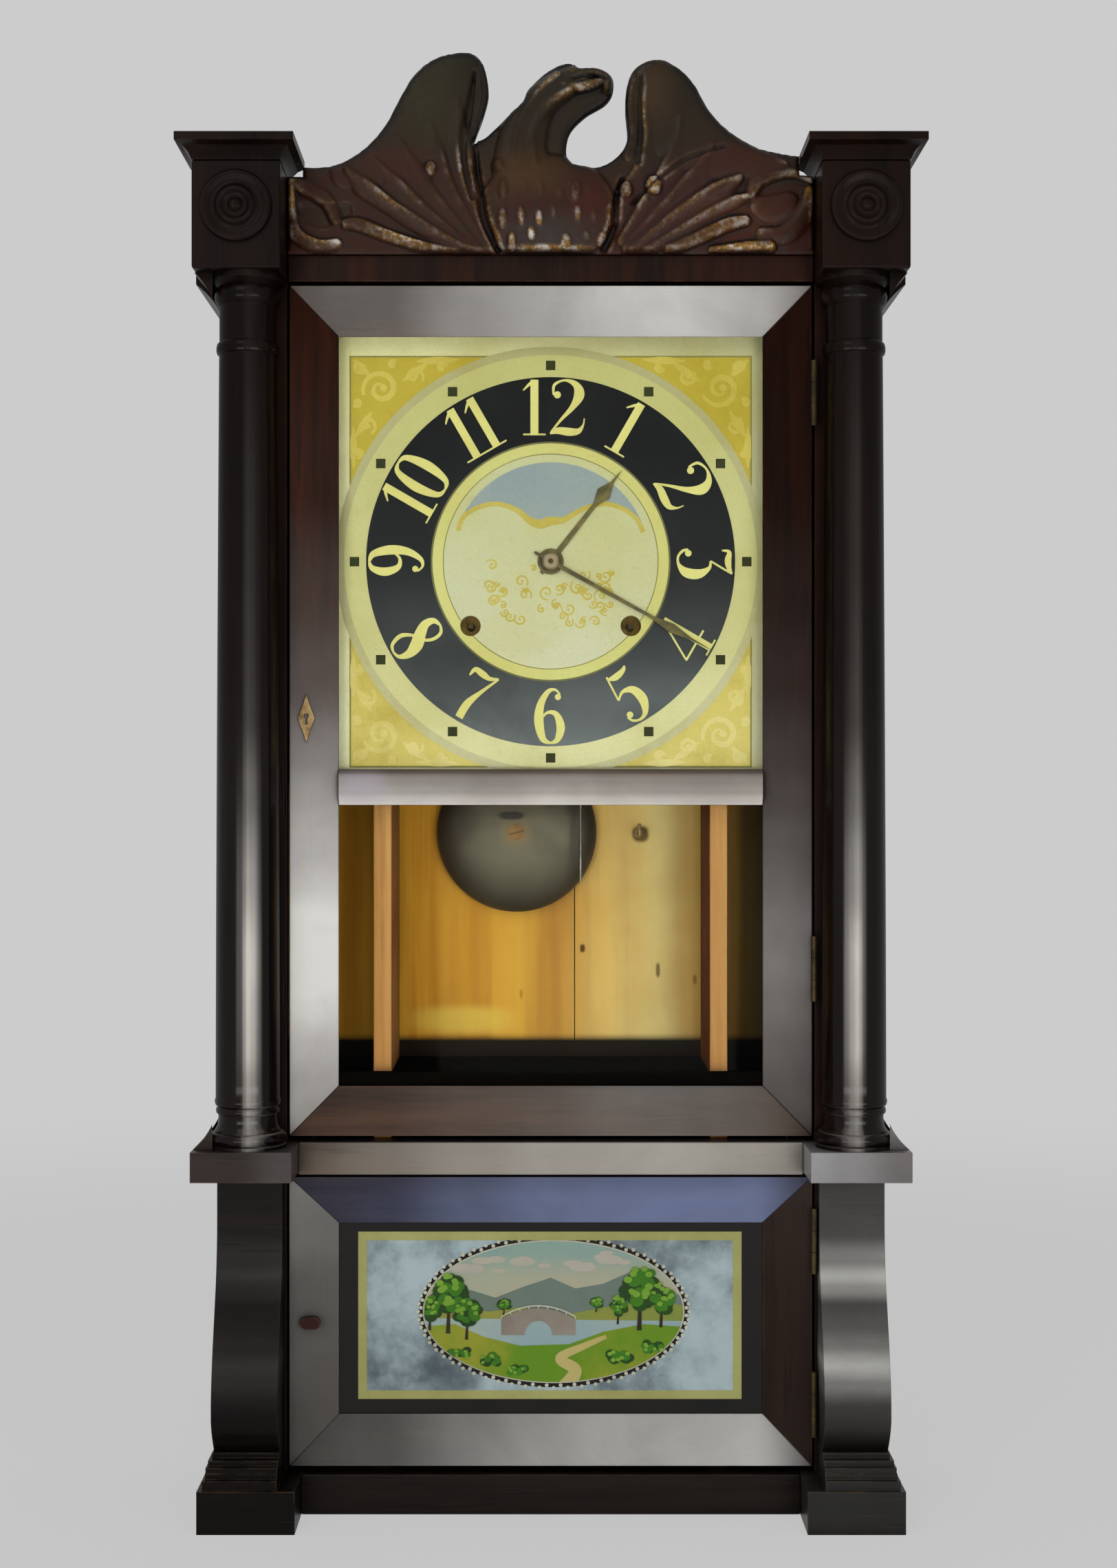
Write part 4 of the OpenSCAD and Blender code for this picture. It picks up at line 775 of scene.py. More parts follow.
# the colours that grade along the height turn lighter and greyer towards the bottom: painted glare; the board
# is lighter on the left and darker on the right: painted light and shade
dialPaints = {
    "dialBoard": {"paint": "#c4c092", "stain": "#a59b5a", "amount": 0.4, "glareGradeTo": "#d2d0b0",
                  "glareGradeZ": [(0.46, 1.0), (0.6, 0.3), (0.77, 0.0)],
                  "shadeX": [(-0.145, 1.3), (-0.125, 1.25), (0.125, 0.85), (0.145, 0.75)]},
    "dialGold": {"paint": "#b3a13c", "stain": "#9d8a24", "amount": 0.6, "glareGradeTo": "#cdbf73",
                 "glareGradeZ": [(0.46, 1.0), (0.56, 0.6), (0.68, 0.0), (0.77, 0.0)]},
    "dialLine": {"paint": "#a9a478", "stain": "#968c4c", "amount": 0.5, "glareGradeTo": "#bdb994",
                 "glareGradeZ": [(0.46, 1.0), (0.77, 0.0)]},
    "dialCream": {"paint": "#b7b478", "stain": "#aaa25a", "amount": 0.4, "glareGradeTo": "#cfcc9e",
                  "glareGradeZ": [(0.48, 1.0), (0.6, 0.4), (0.74, 0.0)]},
    "dialBlack": {"paint": "#121315", "stain": "#202226", "amount": 0.5, "glareGradeTo": "#6e7478", "craze": 0.05,
                  "glareGradeZ": [(0.48, 1.0), (0.52, 0.6), (0.56, 0.25), (0.62, 0.05), (0.7, 0.0)]},
    "dialOlive": {"paint": "#6b6a48", "stain": "#54512c"},
    "dialYellow": {"paint": "#c6c37e", "stain": "#b3a95a", "amount": 0.4},
    "dialBrown": {"paint": "#86804a", "stain": "#6c642c"},
    "dialWhite": {"paint": "#babb94", "stain": "#b4ac62", "amount": 0.35, "glareGradeTo": "#c2c2a6",
                  "glareGradeZ": [(0.54, 1.0), (0.66, 0.0)]},
    "dialOliveDark": {"paint": "#33361c", "stain": "#222410"},
    "dialNumeral": {"paint": "#d3cd82", "stain": "#b8ad5a", "amount": 0.4},
    "dialGilt": {"paint": "#c2b156", "stain": "#aa962e", "amount": 0.7, "glareGradeTo": "#d8cc8c",
                 "glareGradeZ": [(0.46, 1.0), (0.56, 0.5), (0.66, 0.0)], "coat": 0.2},
    "dialGiltSoft": {"paint": "#bdaf5e", "stain": "#a8953c", "amount": 0.7},
    "dialBlue": {"paint": "#87949a", "stain": "#9aa39c", "amount": 0.5},
}
finish.update({name: paintFinish(name, changes) for name, changes in dialPaints.items()})
tabletPaints = {
    "tabletBlack": {"paint": "#0f0d0b", "stain": "#1a1714", "amount": 0.6},
    "tabletBlue": {"paint": "#aabcc0", "stain": "#26333c", "amount": 0.85},
    "tabletGold": {"paint": "#a8a768", "stain": "#8a8444", "amount": 0.5},
    "tabletWhite": {"paint": "#c4c4b0", "stain": "#8e8c78", "amount": 0.5},
    # the sky's own paint pales to a warm tone towards the horizon
    "tabletSky": {"paint": "#7c9c98", "stain": "#96a892", "amount": 0.5, "glareGradeTo": "#b8ab8c",
                  "glareGradeZ": [(0.12, 1.0), (0.145, 0.8), (0.17, 0.0)]},
    "tabletCloud": {"paint": "#b4b0a0", "stain": "#a09a8c", "amount": 0.5},
    "tabletHill": {"paint": "#6f7f78", "stain": "#5c6a52", "amount": 0.6},
    "tabletFarGreen": {"paint": "#7d8c3c", "stain": "#a09440", "amount": 0.7},
    "tabletWater": {"paint": "#8ea6a8", "stain": "#a8b4a4", "amount": 0.6},
    "tabletGreen": {"paint": "#5f8a16", "stain": "#99982c", "amount": 0.9},
    "tabletSand": {"paint": "#bcae6c", "stain": "#a08c3c", "amount": 0.6},
    "tabletStone": {"paint": "#93897c", "stain": "#6c6058", "amount": 0.7},
    "tabletTrunk": {"paint": "#2c2216", "stain": "#3c3020", "amount": 0.5},
    "tabletLeafDark": {"paint": "#234810", "stain": "#18330c", "amount": 0.7},
    "tabletLeaf": {"paint": "#3f7c14", "stain": "#2c5e10", "amount": 0.7},
    "tabletLeafLight": {"paint": "#7ba435", "stain": "#5c8c20", "amount": 0.7},
}
for name, changes in tabletPaints.items():
    finish[name] = paintFinish(name, {"rough": 0.45, "coat": 0.3, "craze": 0.08, **changes})

dressed = {   # part: finish, width of its rounded edges in metres
    "case_sides": ("sideWood", 0.001), "top_board": ("sideWood", 0.001),
    "bottom_board": ("pinePlain", 0.0008), "backboards": ("backPine", 0.0004),
    "front_stiles": ("frameWood", 0.0008), "top_rail": ("frameWood", 0.0008),
    "mid_rail": ("midRailWood", 0.001), "base_rail": ("baseRailWood", 0.001),
    "weight_guides": ("guidePine", 0.0008), "shelf": ("shelfWood", 0.0008),
    "upper_blocks": ("blockWood", 0.0014), "block_caps": ("blockWood", 0.0009),
    "plinth_blocks": ("plinthWood", 0.0012), "ogee_pilasters": ("ogeeWood", 0.0012),
    "feet": ("footWood", 0.0012), "side_mouldings": ("blockWood", 0.0006), "key_hook": ("lockBrass", 0.0),
    "dial_cleats": ("pinePlain", 0.0006), "movement_plates": ("brass", 0.0002),
    "plate_pillars": ("brass", 0.0), "movement_rails": ("pinePlain", 0.0008),
    "pulley_brackets": ("darkBrass", 0.0002), "case_hinges": ("darkBrass", 0.0002),
    "cord_runs": ("cordCotton", 0.0), "upper_door_stiles": ("upperStileWood", 0.0007),
    "upper_door_rails": ("upperRailWood", 0.0007), "upper_door_muntin": ("muntinWood", 0.0006),
    "upper_door_panes": ("paneGlass", 0.0), "upper_door_hinges": ("darkBrass", 0.0002),
    "door_lock": ("lockBrass", 0.00025), "lock_bolt": ("steel", 0.0004),
    "lower_door_stiles": ("lowerStileWood", 0.0007), "lower_door_rails": ("lowerRailWood", 0.0007),
    "lower_door_hinges": ("darkBrass", 0.0002), "door_catch": ("knobWood", 0.0008),
    "minute_arbor": ("brass", 0.0), "minute_wheel": ("brass", 0.0), "hour_pipe": ("brass", 0.0),
    "escape_wheel": ("brass", 0.0), "verge": ("steel", 0.0), "pendulum_rod": ("steel", 0.0),
    "pendulum_bob": ("brass", 0.0), "hammer": ("castIron", 0.0), "drum_left": ("darkBrass", 0.0),
    "drum_right": ("darkBrass", 0.0), "pulley_left": ("pinePlain", 0.0003),
    "pulley_right": ("pinePlain", 0.0003), "weight_left": ("castIron", 0.0008),
    "weight_right": ("castIron", 0.0008), "bell_screw": ("screwBronze", 0.0002),
    "dial": ("dialBoard", 0.0005), "tablet_glass": ("tabletBlack", 0.0), "hour_hand": ("handMetal", 0.0002),
    "minute_hand": ("handMetal", 0.0002),
}

steepAngle = math.radians(34)    # edges sharper than this stay sharp or are rounded off


def softenGroup():
    # welds the tessellation, then smooths what meets at a flat angle
    group = bpy.data.node_groups.new("softenShape", "GeometryNodeTree")
    group.interface.new_socket(name="Geometry", in_out="INPUT", socket_type="NodeSocketGeometry")
    group.interface.new_socket(name="Geometry", in_out="OUTPUT", socket_type="NodeSocketGeometry")
    start, end = group.nodes.new("NodeGroupInput"), group.nodes.new("NodeGroupOutput")
    bare = group.nodes.new("GeometryNodeRemoveAttribute")
    bare.inputs["Name"].default_value = "custom_normal"
    weld = group.nodes.new("GeometryNodeMergeByDistance")
    weld.inputs["Distance"].default_value = 1e-5
    smooth = group.nodes.new("GeometryNodeSetShadeSmooth")
    angle = group.nodes.new("GeometryNodeInputMeshEdgeAngle")
    steep = group.nodes.new("FunctionNodeCompare")
    steep.operation = "GREATER_THAN"
    steep.inputs[1].default_value = steepAngle
    crease = group.nodes.new("GeometryNodeSetShadeSmooth")
    crease.domain = "EDGE"
    crease.inputs["Shade Smooth"].default_value = False
    link = group.links.new
    link(start.outputs[0], bare.inputs[0])
    link(bare.outputs[0], weld.inputs[0])
    link(weld.outputs[0], smooth.inputs[0])
    link(smooth.outputs[0], crease.inputs[0])
    link(angle.outputs[0], steep.inputs[0])
    link(steep.outputs[0], crease.inputs["Selection"])
    link(crease.outputs[0], end.inputs[0])
    return group


def dressParts():
    soften = softenGroup()
    for name, (look, edge) in dressed.items():
        part = nodes[name]
        part.material_slots[0].material = finish[look]
        shape = part.modifiers.new("soften", "NODES")
        shape.node_group = soften
        if edge and name.endswith("door_stiles"):
            # one plain face round each hole, so that edges round off cleanly
            plain = part.modifiers.new("plainFaces", "DECIMATE")
            plain.decimate_type, plain.angle_limit = "DISSOLVE", math.radians(1)
        if edge:
            bevel = part.modifiers.new("edges", "BEVEL")
            bevel.width, bevel.segments = edge, 2
            bevel.limit_method, bevel.angle_limit = "ANGLE", steepAngle
            bevel.harden_normals = True


dressParts()
print("parts dressed")


# carved crest: an eagle's head and body between two wings of overlapping feathers

crest = {   # millimetres in the plane of the clock's front
    "cell": 0.9, "edgeStep": 1.3, "plate": 31.0, "rim": 3.2, "shadedRim": 6.5, "front": 42.0, "back": 24.0,
    "left": -172.0, "low": 808.0, "columns": 383, "rows": 147, "plainFoot": (809, 813),
    "leftWing": [(-159.5, 866), (-147, 866), (-133, 869), (-118, 879), (-106, 893), (-97, 910), (-88, 925),
                 (-76, 935), (-60, 938.9), (-49, 938), (-43, 930), (-40, 914), (-43, 900), (-47, 889),
                 (-50, 881)],
    "head": [(-50, 881), (-42, 885), (-27, 899), (-18, 907), (-14, 916), (-4, 926), (7, 932), (15, 932),
             (19, 928), (31, 929), (39, 924), (40, 915), (35, 907), (22, 899), (12, 888), (10, 874),
             (14, 867)],
    "rightWing": [(14, 867), (30, 866), (42, 872), (49, 883), (48, 902), (49, 918), (55, 930), (70, 935),
                  (83, 929), (93, 918), (102, 902), (115, 889), (132, 879), (147, 875), (159.5, 873)],
    "foot": [(159.5, 860), (169, 860), (169, 810), (-169, 810), (-169, 860), (-159.5, 860)],
    # height, lean of the ridge, then (x, z, half width) points along the stroke
    "strokes": [
        (2.4, 0.0, [(-60, 930, 14), (-74, 905, 24), (-98, 878, 22), (-130, 862, 12)]),
        (3.6, 0.5, [(-44, 930, 3), (-41, 912, 4), (-44, 895, 4), (-51, 876, 4), (-52, 855, 4)]),
        (4.6, 0.6, [(-61, 905, 5), (-60, 880, 8), (-54, 855, 8), (-46, 830, 6), (-39, 812, 4)]),
        (4.4, 0.6, [(-78, 892, 4), (-77, 875, 9), (-69, 853, 8), (-56, 832, 7), (-42, 812, 4)]),
        (4.6, 0.6, [(-97, 880, 4), (-90, 864, 8), (-77, 845, 8), (-60, 827, 6), (-45, 811, 4)]),
        (4.8, 0.6, [(-113, 868, 4), (-100, 852, 8), (-82, 836, 7), (-63, 821, 6), (-46, 811, 4)]),
        (5.6, 0.4, [(-131, 862, 4), (-121, 853, 7), (-106, 842, 6), (-86, 829, 6), (-64, 817, 5),
                    (-48, 811, 3)]),
        (4.4, 0.2, [(-131, 829, 4), (-122, 828, 5), (-104, 821, 4.5), (-84, 815, 4), (-60, 811, 3)]),
        (4.0, -0.3, [(-168, 856, 4), (-156, 851, 5), (-144, 844, 5), (-138, 832, 4)]),
        (4.0, 0.3, [(-167, 852, 3), (-167, 836, 4), (-163, 822, 5), (-150, 815, 5), (-138, 816, 4)]),
        (2.4, 0.0, [(66, 926, 12), (72, 905, 20), (86, 888, 22), (112, 872, 14), (148, 866, 5)]),
        (3.4, -0.4, [(53, 922, 3), (51, 905, 4), (52, 888, 4), (50, 872, 4)]),
        (3.4, -0.6, [(66, 926, 4), (63, 908, 7), (64, 888, 7), (60, 868, 6), (50, 850, 6), (44, 834, 5)]),
        (4.4, -0.6, [(84, 896, 4), (82, 876, 8), (74, 858, 8), (62, 840, 7), (47, 818, 5)]),
        (4.6, -0.6, [(104, 878, 4), (98, 864, 8), (84, 848, 8), (68, 832, 7), (50, 813, 5)]),
        (5.8, -0.4, [(121, 858, 3), (110, 851, 7), (93, 841, 7), (74, 828, 6), (53, 812, 4)]),
        (5.0, -0.4, [(126, 846, 3), (116, 842, 5), (98, 833, 5), (80, 822, 5), (62, 812, 4)]),
        (4.6, 0.0, [(124, 831, 4), (112, 828, 5), (94, 820, 5), (76, 813, 4)]),
        (4.4, 0.0, [(140, 815, 5), (124, 814, 4), (104, 812, 3)]),
        (4.6, 0.3, [(166, 858, 3), (152, 862, 4), (134, 858, 6), (128, 848, 4)]),
        (4.0, -0.3, [(166, 850, 4), (162, 834, 6), (150, 822, 7), (136, 822, 5)]),
        (2.8, 0.0, [(152, 842, 8), (142, 838, 10), (134, 840, 7)]),
        (6.4, 0.0, [(-12, 846, 26), (-19, 868, 18), (-17, 888, 15), (-8, 906, 12), (8, 918, 10),
                    (20, 923, 8)]),
        (7.2, 0.0, [(-10, 866, 4), (-12, 886, 5), (-2, 905, 5), (12, 915, 4)]),
        (7.0, 0.0, [(-24, 872, 3), (-21, 890, 4), (-10, 910, 4), (4, 923, 4)]),
        (6.4, 0.0, [(14, 926, 4), (26, 926, 4), (35, 922, 4), (36, 915, 3)]),
        (7.0, 0.0, [(8, 917, 5), (20, 917, 4), (32, 920, 3)]),
        (5.0, 0.4, [(20, 874, 4), (33, 873, 6), (42, 879, 5)]),
    ],
    "body": (-2, 838, 44, 36, 9.4),                 # middle, half width, half height, rise
    "tuftRows": [(816, 7, 8.0), (830, 7, 8.5), (846, 6, 8.0)],   # height, how many, half height
    "tuftGap": 11.2, "tuftWidth": 0.5, "tuftRise": 4.6, "tuftSunk": 2.6, "tuftSeed": 5,
    "knobs": [(-77, 864, 4.5, 6.5), (-33, 866, 4.5, 7.0), (66, 853, 5.5, 7.5), (48, 851, 4.5, 6.5)],
    # depth, then (x, z, half width) points along the cut
    "cuts": [
        (3.0, [(-49, 926, 1.2), (-52, 905, 2.6), (-56, 885, 2.8), (-55, 865, 2.4), (-50, 846, 2.4)]),
        (3.6, [(-49, 884, 1.4), (-48, 870, 2.2), (-46, 850, 3.2), (-42, 830, 3.2), (-34, 812, 2.6)]),
        (3.0, [(46, 858, 1.6), (42, 845, 2.6), (40, 828, 3.0), (34, 812, 2.6)]),
        (2.2, [(14, 921, 0.8), (24, 923, 1.0), (36, 921, 0.8)]),
        (2.0, [(58, 924, 1.2), (57, 905, 1.6), (58, 885, 1.6), (56, 868, 1.6)]),
        (1.4, [(-132, 838, 5), (-148, 834, 8), (-158, 838, 5)]),
        (1.8, [(52, 842, 1.2), (72, 860, 1.4), (90, 872, 1.4), (112, 879, 1.2)]),
    ],
    # patches where the ridges show worn gilding and a painted whitish highlight: (x, z, half width, half
    # height, share)
    "rubbedAndLit": [(-100, 846, 34, 12, 1.0), (-98, 820, 36, 8, 1.0), (-142, 820, 30, 7, 0.9),
               (0, 824, 36, 16, 1.0), (92, 838, 40, 22, 1.0), (130, 816, 30, 6, 0.9), (8, 916, 20, 10, 0.6),
               (62, 858, 16, 12, 0.7), (-64, 866, 10, 10, 0.6), (150, 865, 20, 5, 0.6),
               (-165, 848, 6, 12, 0.8), (166, 846, 4, 20, 0.6), (66, 905, 14, 26, 0.5),
               (-78, 845, 26, 20, 0.5)],
}


def crestStroke(gridX, gridZ, line, lean):
    # 1 along the ridge of a stroke, 0 at its sides; the lean moves the ridge to one side
    path = smoothLine(line, 6)
    nearest, side = np.full(gridX.shape, 9.0), np.zeros(gridX.shape)
    for a, b in zip(path[:-1], path[1:]):
        low = np.minimum(a, b)[:2] - max(a[2], b[2]) * 1.05      # only the cells near this stretch
        high = np.maximum(a, b)[:2] + max(a[2], b[2]) * 1.05
        cols = np.flatnonzero((gridX[0] > low[0]) & (gridX[0] < high[0]))
        rows = np.flatnonzero((gridZ[:, 0] > low[1]) & (gridZ[:, 0] < high[1]))
        if not len(cols) or not len(rows):
            continue
        part = np.s_[rows[0]:rows[-1] + 1, cols[0]:cols[-1] + 1]
        x, z = gridX[part], gridZ[part]
        dx, dz = b[0] - a[0], b[1] - a[1]
        t = np.clip(((x - a[0]) * dx + (z - a[1]) * dz) / (dx * dx + dz * dz), 0, 1)
        offX, offZ = x - a[0] - t * dx, z - a[1] - t * dz
        away = np.hypot(offX, offZ) / (a[2] + (b[2] - a[2]) * t)
        hand = np.sign(dx * offZ - dz * offX)
        closer = away < nearest[part]
        nearest[part] = np.where(closer, away, nearest[part])
        side[part] = np.where(closer, hand * away, side[part])
    round_ = np.sqrt(np.clip(1 - nearest ** 2, 0, 1))
    return round_ * (1 + lean * np.clip(side, -1, 1)) / (1 + abs(lean))


def blurred(field, times):
    for _ in range(times):
        wide = np.pad(field, 1, mode="edge")
        field = (wide[:-2, 1:-1] + wide[2:, 1:-1] + wide[1:-1, :-2] + wide[1:-1, 2:] + 4 * field) / 8
    return field


def makeCrest():
    top = np.vstack([smoothLine(crest[k], 8)[:-1] for k in ("leftWing", "head", "rightWing")])
    corners = np.vstack([top, crest["rightWing"][-1:], crest["foot"]])
    edge = []
    for a, b in zip(corners, np.roll(corners, -1, 0)):
        steps = max(1, int(np.hypot(*(b - a)) / crest["edgeStep"]))
        edge += [a + (b - a) * k / steps for k in range(steps)]
    edge = anticlockwise(edge)

    xs = crest["left"] + crest["cell"] * np.arange(crest["columns"])
    zs = crest["low"] + crest["cell"] * np.arange(crest["rows"])
    gridX, gridZ = np.meshgrid(xs, zs)
    away, inside = np.full(gridX.shape, 99.0), np.zeros(gridX.shape, bool)
    for a, b in zip(edge, np.roll(edge, -1, 0)):
        d = b - a
        t = np.clip(((gridX - a[0]) * d[0] + (gridZ - a[1]) * d[1]) / (d @ d), 0, 1)
        away = np.minimum(away, np.hypot(gridX - a[0] - t * d[0], gridZ - a[1] - t * d[1]))
        if a[1] != b[1]:
            crosses = (a[1] > gridZ) != (b[1] > gridZ)
            inside ^= crosses & (gridX < a[0] + d[0] * (gridZ - a[1]) / d[1])

    height = np.zeros(gridX.shape)
    for rise, lean, line in crest["strokes"]:
        height = np.maximum(height, rise * crestStroke(gridX, gridZ, line, lean))
    x, z, wide, tall, rise = crest["body"]
    swell = np.clip(1 - ((gridX - x) / wide) ** 2 - ((gridZ - z) / tall) ** 2, 0, 1)
    bodyHeight = rise * np.sqrt(swell)
    chance = np.random.default_rng(crest["tuftSeed"])
    for row, (at, count, size) in enumerate(crest["tuftRows"]):
        for k in range(count):
            place = k - (count - 1) / 2 + 0.5 * (row % 2) + chance.uniform(-0.22, 0.22)
            where = x + place * crest["tuftGap"]
            long = size * chance.uniform(0.65, 1.15)
            across = size * crest["tuftWidth"] * chance.uniform(0.75, 1.25)
            lift = at + 3 + chance.uniform(-2.5, 2.5)
            tuft = np.clip(1 - ((gridX - where) / across) ** 2 - ((gridZ - lift) / long) ** 2, 0, 1)
            raised = (rise - crest["tuftSunk"]) * np.sqrt(swell)
            raised += crest["tuftRise"] * chance.uniform(0.5, 1.0) * np.sqrt(tuft)
            bodyHeight = np.where(tuft > 0, np.maximum(bodyHeight, raised), bodyHeight)
    bodyHeight = np.where(swell > 0, bodyHeight, 0)
    height = np.maximum(height, bodyHeight)
    for x, z, size, rise in crest["knobs"]:
        height = np.maximum(height, rise * np.sqrt(np.clip(
            1 - ((gridX - x) / size) ** 2 - ((gridZ - z) / (size * 1.3)) ** 2, 0, 1)))
    for depth, line in crest["cuts"]:
        height -= depth * crestStroke(gridX, gridZ, line, 0.0)
    height = blurred(height * softStep(gridZ, *crest["plainFoot"]), 2)   # the foot stays plain
    rim = np.clip(1 - away / crest["rim"], 0, 1)
    height -= crest["rim"] * (1 - np.sqrt(1 - rim ** 2)) * np.where(gridZ > 812, 1, 0.3)
    local = height - blurred(height, 14)
    # ridges take worn gilding and a painted highlight; grooves, and the top edge where the rim rounds away,
    # take painted shade
    ridge, grooveShade = softStep(local, 0.05, 0.85), softStep(-local, 0.1, 1.0)
    grooveShade = np.maximum(grooveShade, 0.85 * softStep(-away, -crest["shadedRim"], 0) * softStep(gridZ, 850, 880))
    rubbedAndLit = np.zeros(gridX.shape)
    for x, z, wide, tall, share in crest["rubbedAndLit"]:
        rubbedAndLit = np.maximum(rubbedAndLit, share * np.exp(-((gridX - x) / wide) ** 2 - ((gridZ - z) / tall) ** 2))

    keep = inside & (away > 0.5 * crest["cell"])
    loose = np.column_stack([gridX[keep], gridZ[keep]])
    points = [Vector(p) for p in np.vstack([edge, loose])]
    flat, _, triangles, _, _, owners = delaunay_2d_cdt(points, [], [list(range(len(edge)))], 0, 1e-5)
    triangles = [t for t, owner in zip(triangles, owners) if owner]
    flat = np.array([tuple(p) for p in flat])

    def sample(field):
        u = np.clip((flat[:, 0] - xs[0]) / crest["cell"], 0, len(xs) - 1.001)
        v = np.clip((flat[:, 1] - zs[0]) / crest["cell"], 0, len(zs) - 1.001)
        i, j = u.astype(int), v.astype(int)
        u, v = u - i, v - j
        return (field[j, i] * (1 - u) * (1 - v) + field[j, i + 1] * u * (1 - v)
                + field[j + 1, i] * (1 - u) * v + field[j + 1, i + 1] * u * v)

    front = -np.minimum(crest["plate"] + sample(height), crest["front"])
    front = np.minimum(front, -crest["back"] - 2)
    points = [(p[0] / 1000, y / 1000, p[1] / 1000) for p, y in zip(flat, front)]
    faces, after = [], {}
    for t in triangles:
        a, b, c = t
        u, v = flat[b] - flat[a], flat[c] - flat[a]
        if u[0] * v[1] - u[1] * v[0] < 0:
            b, c = c, b
        faces.append((a, b, c))
        for one, other in ((a, b), (b, c), (c, a)):
            after[one, other] = True
    border = {a: b for a, b in after if (b, a) not in after}
    loop, n = [next(iter(border))], len(points)
    while border[loop[-1]] != loop[0]:
        loop.append(border[loop[-1]])
    points += [(flat[i][0] / 1000, -crest["back"] / 1000, flat[i][1] / 1000) for i in loop]
    for k in range(len(loop)):
        m = (k + 1) % len(loop)
        faces.append((loop[k], n + k, n + m, loop[m]))
    faces.append(tuple(n + k for k in reversed(range(len(loop)))))
    piece = addPiece("carvedCrest", points, faces, "case", crestFinish(),
                     ("carved_splat",), "carved_wood", 60)
    for label, field in (("ridge", ridge), ("grooveShade", grooveShade), ("rubbedAndLit", rubbedAndLit)):
        values = np.concatenate([sample(field), np.zeros(len(loop))]).astype(np.float32)
        if len(piece.data.vertices) == len(values):
            piece.data.attributes.new(label, "FLOAT", "POINT").data.foreach_set("value", values)
        else:
            print("crest:", label, "left out")
    print("crest carved:", len(points), "points")


def crestFinish():
    look = {"olive": "#221d10", "brown": "#351a0b", "red": "#38130c", "gold": "#a57a38", "worn": "#cfc8bc",
            "grooveShade": "#060302",
            # old bronze colours that show through in places: middle, half sizes, colour, share, full part
            "patches": [(-0.014, 0.86, 0.036, 0.022, "#4c3412", 0.6, 0.0),
                        (0.024, 0.842, 0.026, 0.02, "#481c10", 0.5, 0.0),
                        (-0.004, 0.822, 0.04, 0.018, "#3a3634", 0.6, 0.0),
                        (0.066, 0.915, 0.02, 0.03, "#46301a", 0.6, 0.0),
                        (0.12, 0.87, 0.05, 0.016, "#48190f", 0.5, 0.0),
                        (-0.1, 0.868, 0.045, 0.018, "#3e1a10", 0.6, 0.0),
                        (-0.078, 0.904, 0.03, 0.04, "#302c14", 0.7, 0.0),
                        (0.12, 0.834, 0.045, 0.022, "#542c10", 0.5, 0.0)]}
    material, tree, shader = newMaterial("crestBronze")
    place = put(tree, "TexCoord").outputs["Object"]
    ridge = put(tree, "Attribute", attribute_name="ridge").outputs["Fac"]
    grooveShade = put(tree, "Attribute", attribute_name="grooveShade").outputs["Fac"]
    rubbedAndLit = put(tree, "Attribute", attribute_name="rubbedAndLit").outputs["Fac"]
    broad = put(tree, "TexNoise", {"Vector": place, "Scale": 22.0, "Detail": 5.0}).outputs[0]
    fine = put(tree, "TexNoise", {"Vector": place, "Scale": 190.0, "Detail": 6.0,
                                  "Roughness": 0.7}).outputs[0]
    upright = alongAxis(tree, "Z", [(0.81, 1.0), (0.85, 0.9), (0.88, 0.3), (0.94, 0.0)])
    warm = blendColours(tree, span(tree, broad, 0.42, 0.62), tint(look["brown"]), tint(look["red"]))
    base = blendColours(tree, calc(tree, "MULTIPLY", upright, span(tree, fine, 0.2, 0.6)),
                        tint(look["olive"]), warm)
    for patch in look["patches"]:
        base = marked(tree, base, *patch)
    # worn gilding, and a whitish painted highlight, on the rubbed ridges
    worn = blendColours(tree, span(tree, fine, 0.46, 0.6), tint(look["gold"]), tint(look["worn"]))
    share = calc(tree, "MULTIPLY", calc(tree, "MULTIPLY", ridge, rubbedAndLit),
                 span(tree, fine, 0.3, 0.55, 0.5, 1.4),
                 clamp=True)
    colour = blendColours(tree, share, base, worn)
    # painted shade in the grooves and along the rounded rim
    colour = blendColours(tree, grooveShade, colour, tint(look["grooveShade"]))
    bump = put(tree, "Bump", {"Height": fine, "Distance": 0.0005, "Strength": 0.5})
    feed(tree, shader, {"Base Color": colour, "Metallic": 0.05, "Normal": bump.outputs[0],
                        "Roughness": span(tree, fine, 0.3, 0.7, 0.36, 0.56), "Specular IOR Level": 0.2})
    return material


makeCrest()


# turned wood: columns, rosettes

columns = {   # millimetres; (radius, height) from the foot up
    "centre": (193.0, -42.4), "flatBack": -25.6, "around": 112,
    "foot": [(0, 239), (24.4, 239), (24.4, 241)],
    "ring": (21.4, 245, 3.0, 4.0),      # middle radius and height, half width, half height
    "shaft": (20.4, 2.2, 270.5, 471.5), "swell": 1.4,   # radius at its foot, taper, foot, length
    "neck": [(21.4, 249.5), (20.3, 251), (19.2, 253), (18.7, 256), (18.6, 259), (18.9, 260.4)],
    "beads": [(19.9, 261), (20.2, 262.4), (19.9, 264), (19.0, 265.2), (20.4, 266), (21.0, 268), (20.8, 269.6),
              (20.4, 270.5)],
    "top": [(18.2, 742), (19.4, 742.6), (19.9, 744.4), (19.9, 746.6), (19.4, 748.8), (18.0, 750), (18.0, 772),
            (19.4, 773.6), (20.6, 776), (21, 779), (20.6, 782), (19.2, 784.5), (21.6, 786.6), (24, 788),
            (24, 792), (0, 792)],
}
